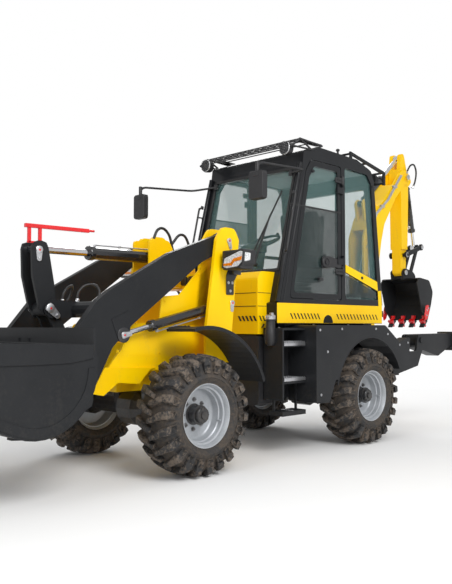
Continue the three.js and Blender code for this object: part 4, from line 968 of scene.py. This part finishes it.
visor = bmesh.new()  # open grille leaning over the windscreen, its side plates and two round lamps
visorLampX = 526
visorRows = [(200, 2784), (230, 2810), (262, 2836), (296, 2862)]  # y, z of the bars
for y, z in visorRows:
    pour(visor, block((-618, y - 6, z - 5), (618, y + 6, z + 5), 2))
for row, ((lowY, lowZ), (highY, highZ)) in enumerate(zip(visorRows, visorRows[1:])):
    for number in range(13):
        x = -600 + number * 98 + (row % 2) * 30
        pour(visor, post((x, lowY, lowZ), (x + 26, highY, highZ), 6, sides=6))
for y in (392, 500):
    pour(visor, block((-618, y - 5, 2856), (618, y + 5, 2866), 2))
for number in range(15):
    x = -600 + number * 84
    pour(visor, planCut([(x - 5, 296), (x + 5, 296), (x + 27, 394), (x + 17, 394)], 2858, 2866))
for side in (-1, 1):
    pour(visor, planCut([(side * 520, 300), (side * 622, 300), (side * 612, 640), (side * 540, 640)], 2860,
        2868, 1))
    for start, end in (((196, 2780), (300, 2866)), ((196, 2780), (470, 2790)), ((300, 2866), (470, 2790)),
            ((300, 2866), (640, 2852)), ((470, 2790), (640, 2852))):
        pour(visor, post((side * 616, *start), (side * 616, *end), 9, sides=8))
    pour(visor, lathe([(0, 0), (0, 62), (10, 64), (56, 58), (64, 36), (64, 0)], (side * visorLampX, 192, 2768),
        (side * visorLampX, 262, 2768), 36))
addPiece(visor, "visor_grille", blackPlastic, stands=("front_visor",))

lens, bars = bmesh.new(), bmesh.new()
for x in (-visorLampX, visorLampX):
    pour(lens, lathe([(-4, 0), (-2, 54), (4, 60), (8, 60)], (x, 186, 2773), (x, 194, 2773), 36))
    for offset in range(-45, 46, 15):
        half = sqrt(60 * 60 - offset * offset)
        pour(bars, block((x + offset - 3, 176, 2773 - half), (x + offset + 3, 182, 2773 + half)))
        pour(bars, block((x - half, 177, 2770 + offset), (x + half, 183, 2776 + offset)))
addPiece(lens, "visor_lamp_lenses", clearLens)
addPiece(bars, "visor_lamp_bars", blackPlastic)

glass = frontCut([(704, 2192), (848, 2192), (848, 2408), (704, 2408)], -430, -425, 2, 22)
pair("mirror_glass", glass, mirrorGlass)
cup = frontCut([(694, 2182), (858, 2182), (858, 2418), (694, 2418)], -482, -470, 5, 26)  # behind the mirror
pour(cup, block((748, -486, 2372), (806, -478, 2400), 3))
pour(cup, post((776, -459, 2330), (776, -459, 2500), 17, bevel=3))
pair("mirror_back", cup, blackPlastic)
hook = lathe([(0, 0), (0, 12), (40, 10), (46, 18), (58, 20), (66, 12), (68, 0)], (560, 968, 2826),
    (560, 968, 2900), 20)
addPiece(hook, "roof_hook", blackPlastic)

# inside the cab

wheelRim = lathe([(13 * sin(step * tau / 12), 172 + 13 * cos(step * tau / 12)) for step in range(12)],
    (0, 0, 0), (0, 0, 1), 48, closed=True)
for angle in (0.5, 2.6, 4.7):
    pour(wheelRim, post((0, 0, -16), (168 * cos(angle), 168 * sin(angle), 0), 9, sides=12))
pour(wheelRim, lathe([(-40, 0), (-40, 36), (-6, 44), (4, 36), (6, 0)], (0, 0, 0), (0, 0, 1), 28))
pour(wheelRim, lathe([(0, 0), (0, 12), (34, 16), (44, 10), (46, 0)], (140, 90, 8), (140, 90, 60), 16))
column = sideCut([(186, 1334), (334, 1334), (420, 1700), (462, 1930), (418, 1952), (300, 1780)], -62, 62, 8, 24)
pour(column, wheelRim, shift((0, 470, 1965)) @ spin(0.45, "X"))
pour(column, block((-150, 300, 1840), (150, 372, 1930), 14))
pour(column, block((-540, 92, 1334), (540, 640, 1345), 3))
for number in range(14):
    pour(column, block((-520, 110 + number * 37, 1344), (520, 124 + number * 37, 1349), 1))
addPiece(column, "steering_wheel", blackPlastic, stands=("cab_controls",))
console = sideCut([(380, 1338), (640, 1338), (640, 1700), (560, 1786), (390, 1760)], -470, -300, 8, 30)
for x in (180, -220):
    pour(console, sideCut([(180, 1338), (300, 1338), (250, 1560), (200, 1560)], x, x + 80, 4, 10))
addPiece(console, "cab_console", cabLining)
levers = bmesh.new()
for x, y in ((-420, 470), (-350, 470), (-420, 560), (-350, 560)):
    pour(levers, post((x, y, 1750), (x, y - 26, 1850), 7, sides=12))
    pour(levers, lathe([(0, 0), (0, 9), (20, 19), (44, 20), (58, 12), (60, 0)], (x, y - 26, 1846),
        (x, y - 42, 1908), 20))
addPiece(levers, "cab_levers", blackRubber)
print("body and cab fittings made")

# side panels of the front body, keeper plates, hoses and the seat

# yellow sheet between the tower and the nose
panel = sideCut([(-1200, 1040), (-1160, 1366), (-975, 1384), (-740, 1620), (-640, 1640), (-520, 1640),
    (-500, 1040)], 376, 390, 2)
for y, z in ((-1130, 1330), (-760, 1560), (-640, 1080)):
    pour(panel, bolt((390, y, z), 9, 5))
pair("tower_side_panel", panel, yellowPaint, "front_frame")

# lower fold of the nose, leaning in towards its bottom edge, its groove and bolts
fold = sideCut([(-1722, 826), (-1240, 808), (-1296, 794), (-1385, 694), (-1590, 714), (-1718, 628),
    (-1822, 650)], 399, 414)
for vert in fold.verts:
    if vert.co.x > 410 and vert.co.z < 790:
        vert.co.x = 401
pour(fold, sideCut([(-1600, 914), (-1190, 896), (-1190, 901), (-1600, 919)], 399, 403))
for y, z in ((-1600, 942), (-1190, 922)):
    pour(fold, bolt((400, y, z), 9, 5))
pair("nose_trim", fold, yellowPaint, "front_frame")

for name, body, y, z, x, turn, size in (("rocker_keeper", "rocker", -2080, 1690, 86, 0.0, 1.15),
        ("pivot_keeper", "loader_arms", -2002, 1261, 119, 0.85, 1.4), ("lift_keeper", "loader_arms", -1622,
        1064, 512, 1.75, 1.0)):
    keeper = pinPlate(y, z, turn, size)
    move(keeper, shift((x, 0, 0)))
    pair(name, keeper, zincSteel, body)
    pair(name + "_dot", redDot(y, z, x + 9 * size), redPaint, body)
boss = lathe([(0, 0), (0, 56), (7, 56), (10, 50), (10, 0)], (500, -1620, 1064), (512, -1620, 1064), 36)
pair("lift_boss", boss, castPaint, "loader_arms")

hose("tower_hose_left", [(60, -690, 1565), (56, -760, 1790), (52, -830, 1950), (48, -900, 1965),
    (44, -960, 1880), (40, -985, 1790)], 12, "front_frame", 30)
hose("tower_hose_right", [(-60, -690, 1565), (-66, -720, 1740), (-60, -640, 1890), (-50, -560, 1950),
    (-44, -500, 1900), (-40, -480, 1700), (-40, -500, 1590)], 12, "front_frame", 30)
for number, x in enumerate((-250, -170, 170, 250)):
    hose(f"beam_hose_{number}", [(x, -520, 1500), (x * 0.9, -440, 1440), (x * 0.8, -420, 1250),
        (x * 0.8, -430, 1060), (x * 0.7, -500, 980)], 11, "front_frame", 26)
for number, x in enumerate((-26, 26)):
    hose(f"arm_hose_{number}", [(x * 4, -1760, 1316), (x * 4, -1740, 1400), (x * 5, -1660, 1450),
        (x * 7, -1620, 1420), (x * 8, -1650, 1330), (x * 8, -1700, 1290)], 10, "loader_arms", 24)
valves = block((-290, -706, 1478), (290, -640, 1545), 6)
for number in range(6):
    x = -240 + number * 96  # middle of one section
    pour(valves, block((x - 34, -716, 1486), (x + 34, -636, 1556), 5))
addPiece(valves, "tower_valve_block", castPaint, "front_frame")


def cushion(name, low, high, crown, channels, tilt=0.0, pivot=(0, 0, 0)):  # crowned pad with sewn channels
    bm = bmesh.new()
    bmesh.ops.create_cube(bm, size=2)
    bmesh.ops.subdivide_edges(bm, edges=bm.edges[:], cuts=11, use_grid_fill=True)
    low, high = Vector(low), Vector(high)
    middle, half = (low + high) / 2, (high - low) / 2
    for vert in bm.verts:
        u, v, w = vert.co
        pinch = 1 - 0.045 * (1 - w * w) * (abs(u) ** 4 + abs(v) ** 4) * 0.5
        rise = crown * (1 - u * u) * (1 - v * v) if w > 0 else 0
        for channel in channels:
            if w > 0.9:
                rise -= 11 * exp(-((u - channel) / 0.075) ** 2) * (1 - v ** 8)
        vert.co = (middle.x + u * half.x * pinch, middle.y + v * half.y * pinch, middle.z + w * half.z + rise)
    bmesh.ops.smooth_vert(bm, verts=bm.verts[:], factor=0.5, use_axis_x=True, use_axis_y=True, use_axis_z=True)
    move(bm, shift(pivot) @ spin(tilt, "X") @ shift(-Vector(pivot)))
    pad = addPiece(bm, name, seatVinyl, "rear_frame", 180)
    rounder = pad.modifiers.new("rounder", "SUBSURF")
    rounder.levels = rounder.render_levels = 1


cushion("seat_cushion", (-240, 628, 1612), (240, 1108, 1716), 16, (-0.55, -0.18, 0.18, 0.55))
cushion("seat_back_cushion", (-225, 1120, 1700), (225, 1700, 1800), 16, (-0.5, -0.17, 0.17, 0.5), radians(98),
    (0, 1120, 1750))
seat = block((-166, 706, 1334), (166, 1074, 1420), 10)
for fold in range(4):  # folds of the suspension's cover
    half, foot = 158 - fold * 3, 1424 + fold * 40
    pour(seat, block((-half, 716, foot), (half, 1064, foot + 32), 12))
pour(seat, block((-220, 640, 1580), (220, 1120, 1612), 12))
pour(seat, sideCut([(1140, 1600), (1190, 1600), (1246, 2290), (1214, 2290)], -190, 190, 10, 10))
for side in (-1, 1):
    pour(seat, block((side * 268 - 26, 800, 1840), (side * 268 + 26, 1130, 1872), 14))
addPiece(seat, "seat_base", blackPlastic, stands=("seat",))

lining = bmesh.new()  # roof lining and the far pillars' inner covers
pour(lining, block((-560, 420, 2700), (560, 1460, 2712), 4))
pour(lining, block((-480, 1440, 1340), (480, 1470, 1470), 8))
addPiece(lining, "cab_roof_lining", paleLining)
print("seat and hoses made")
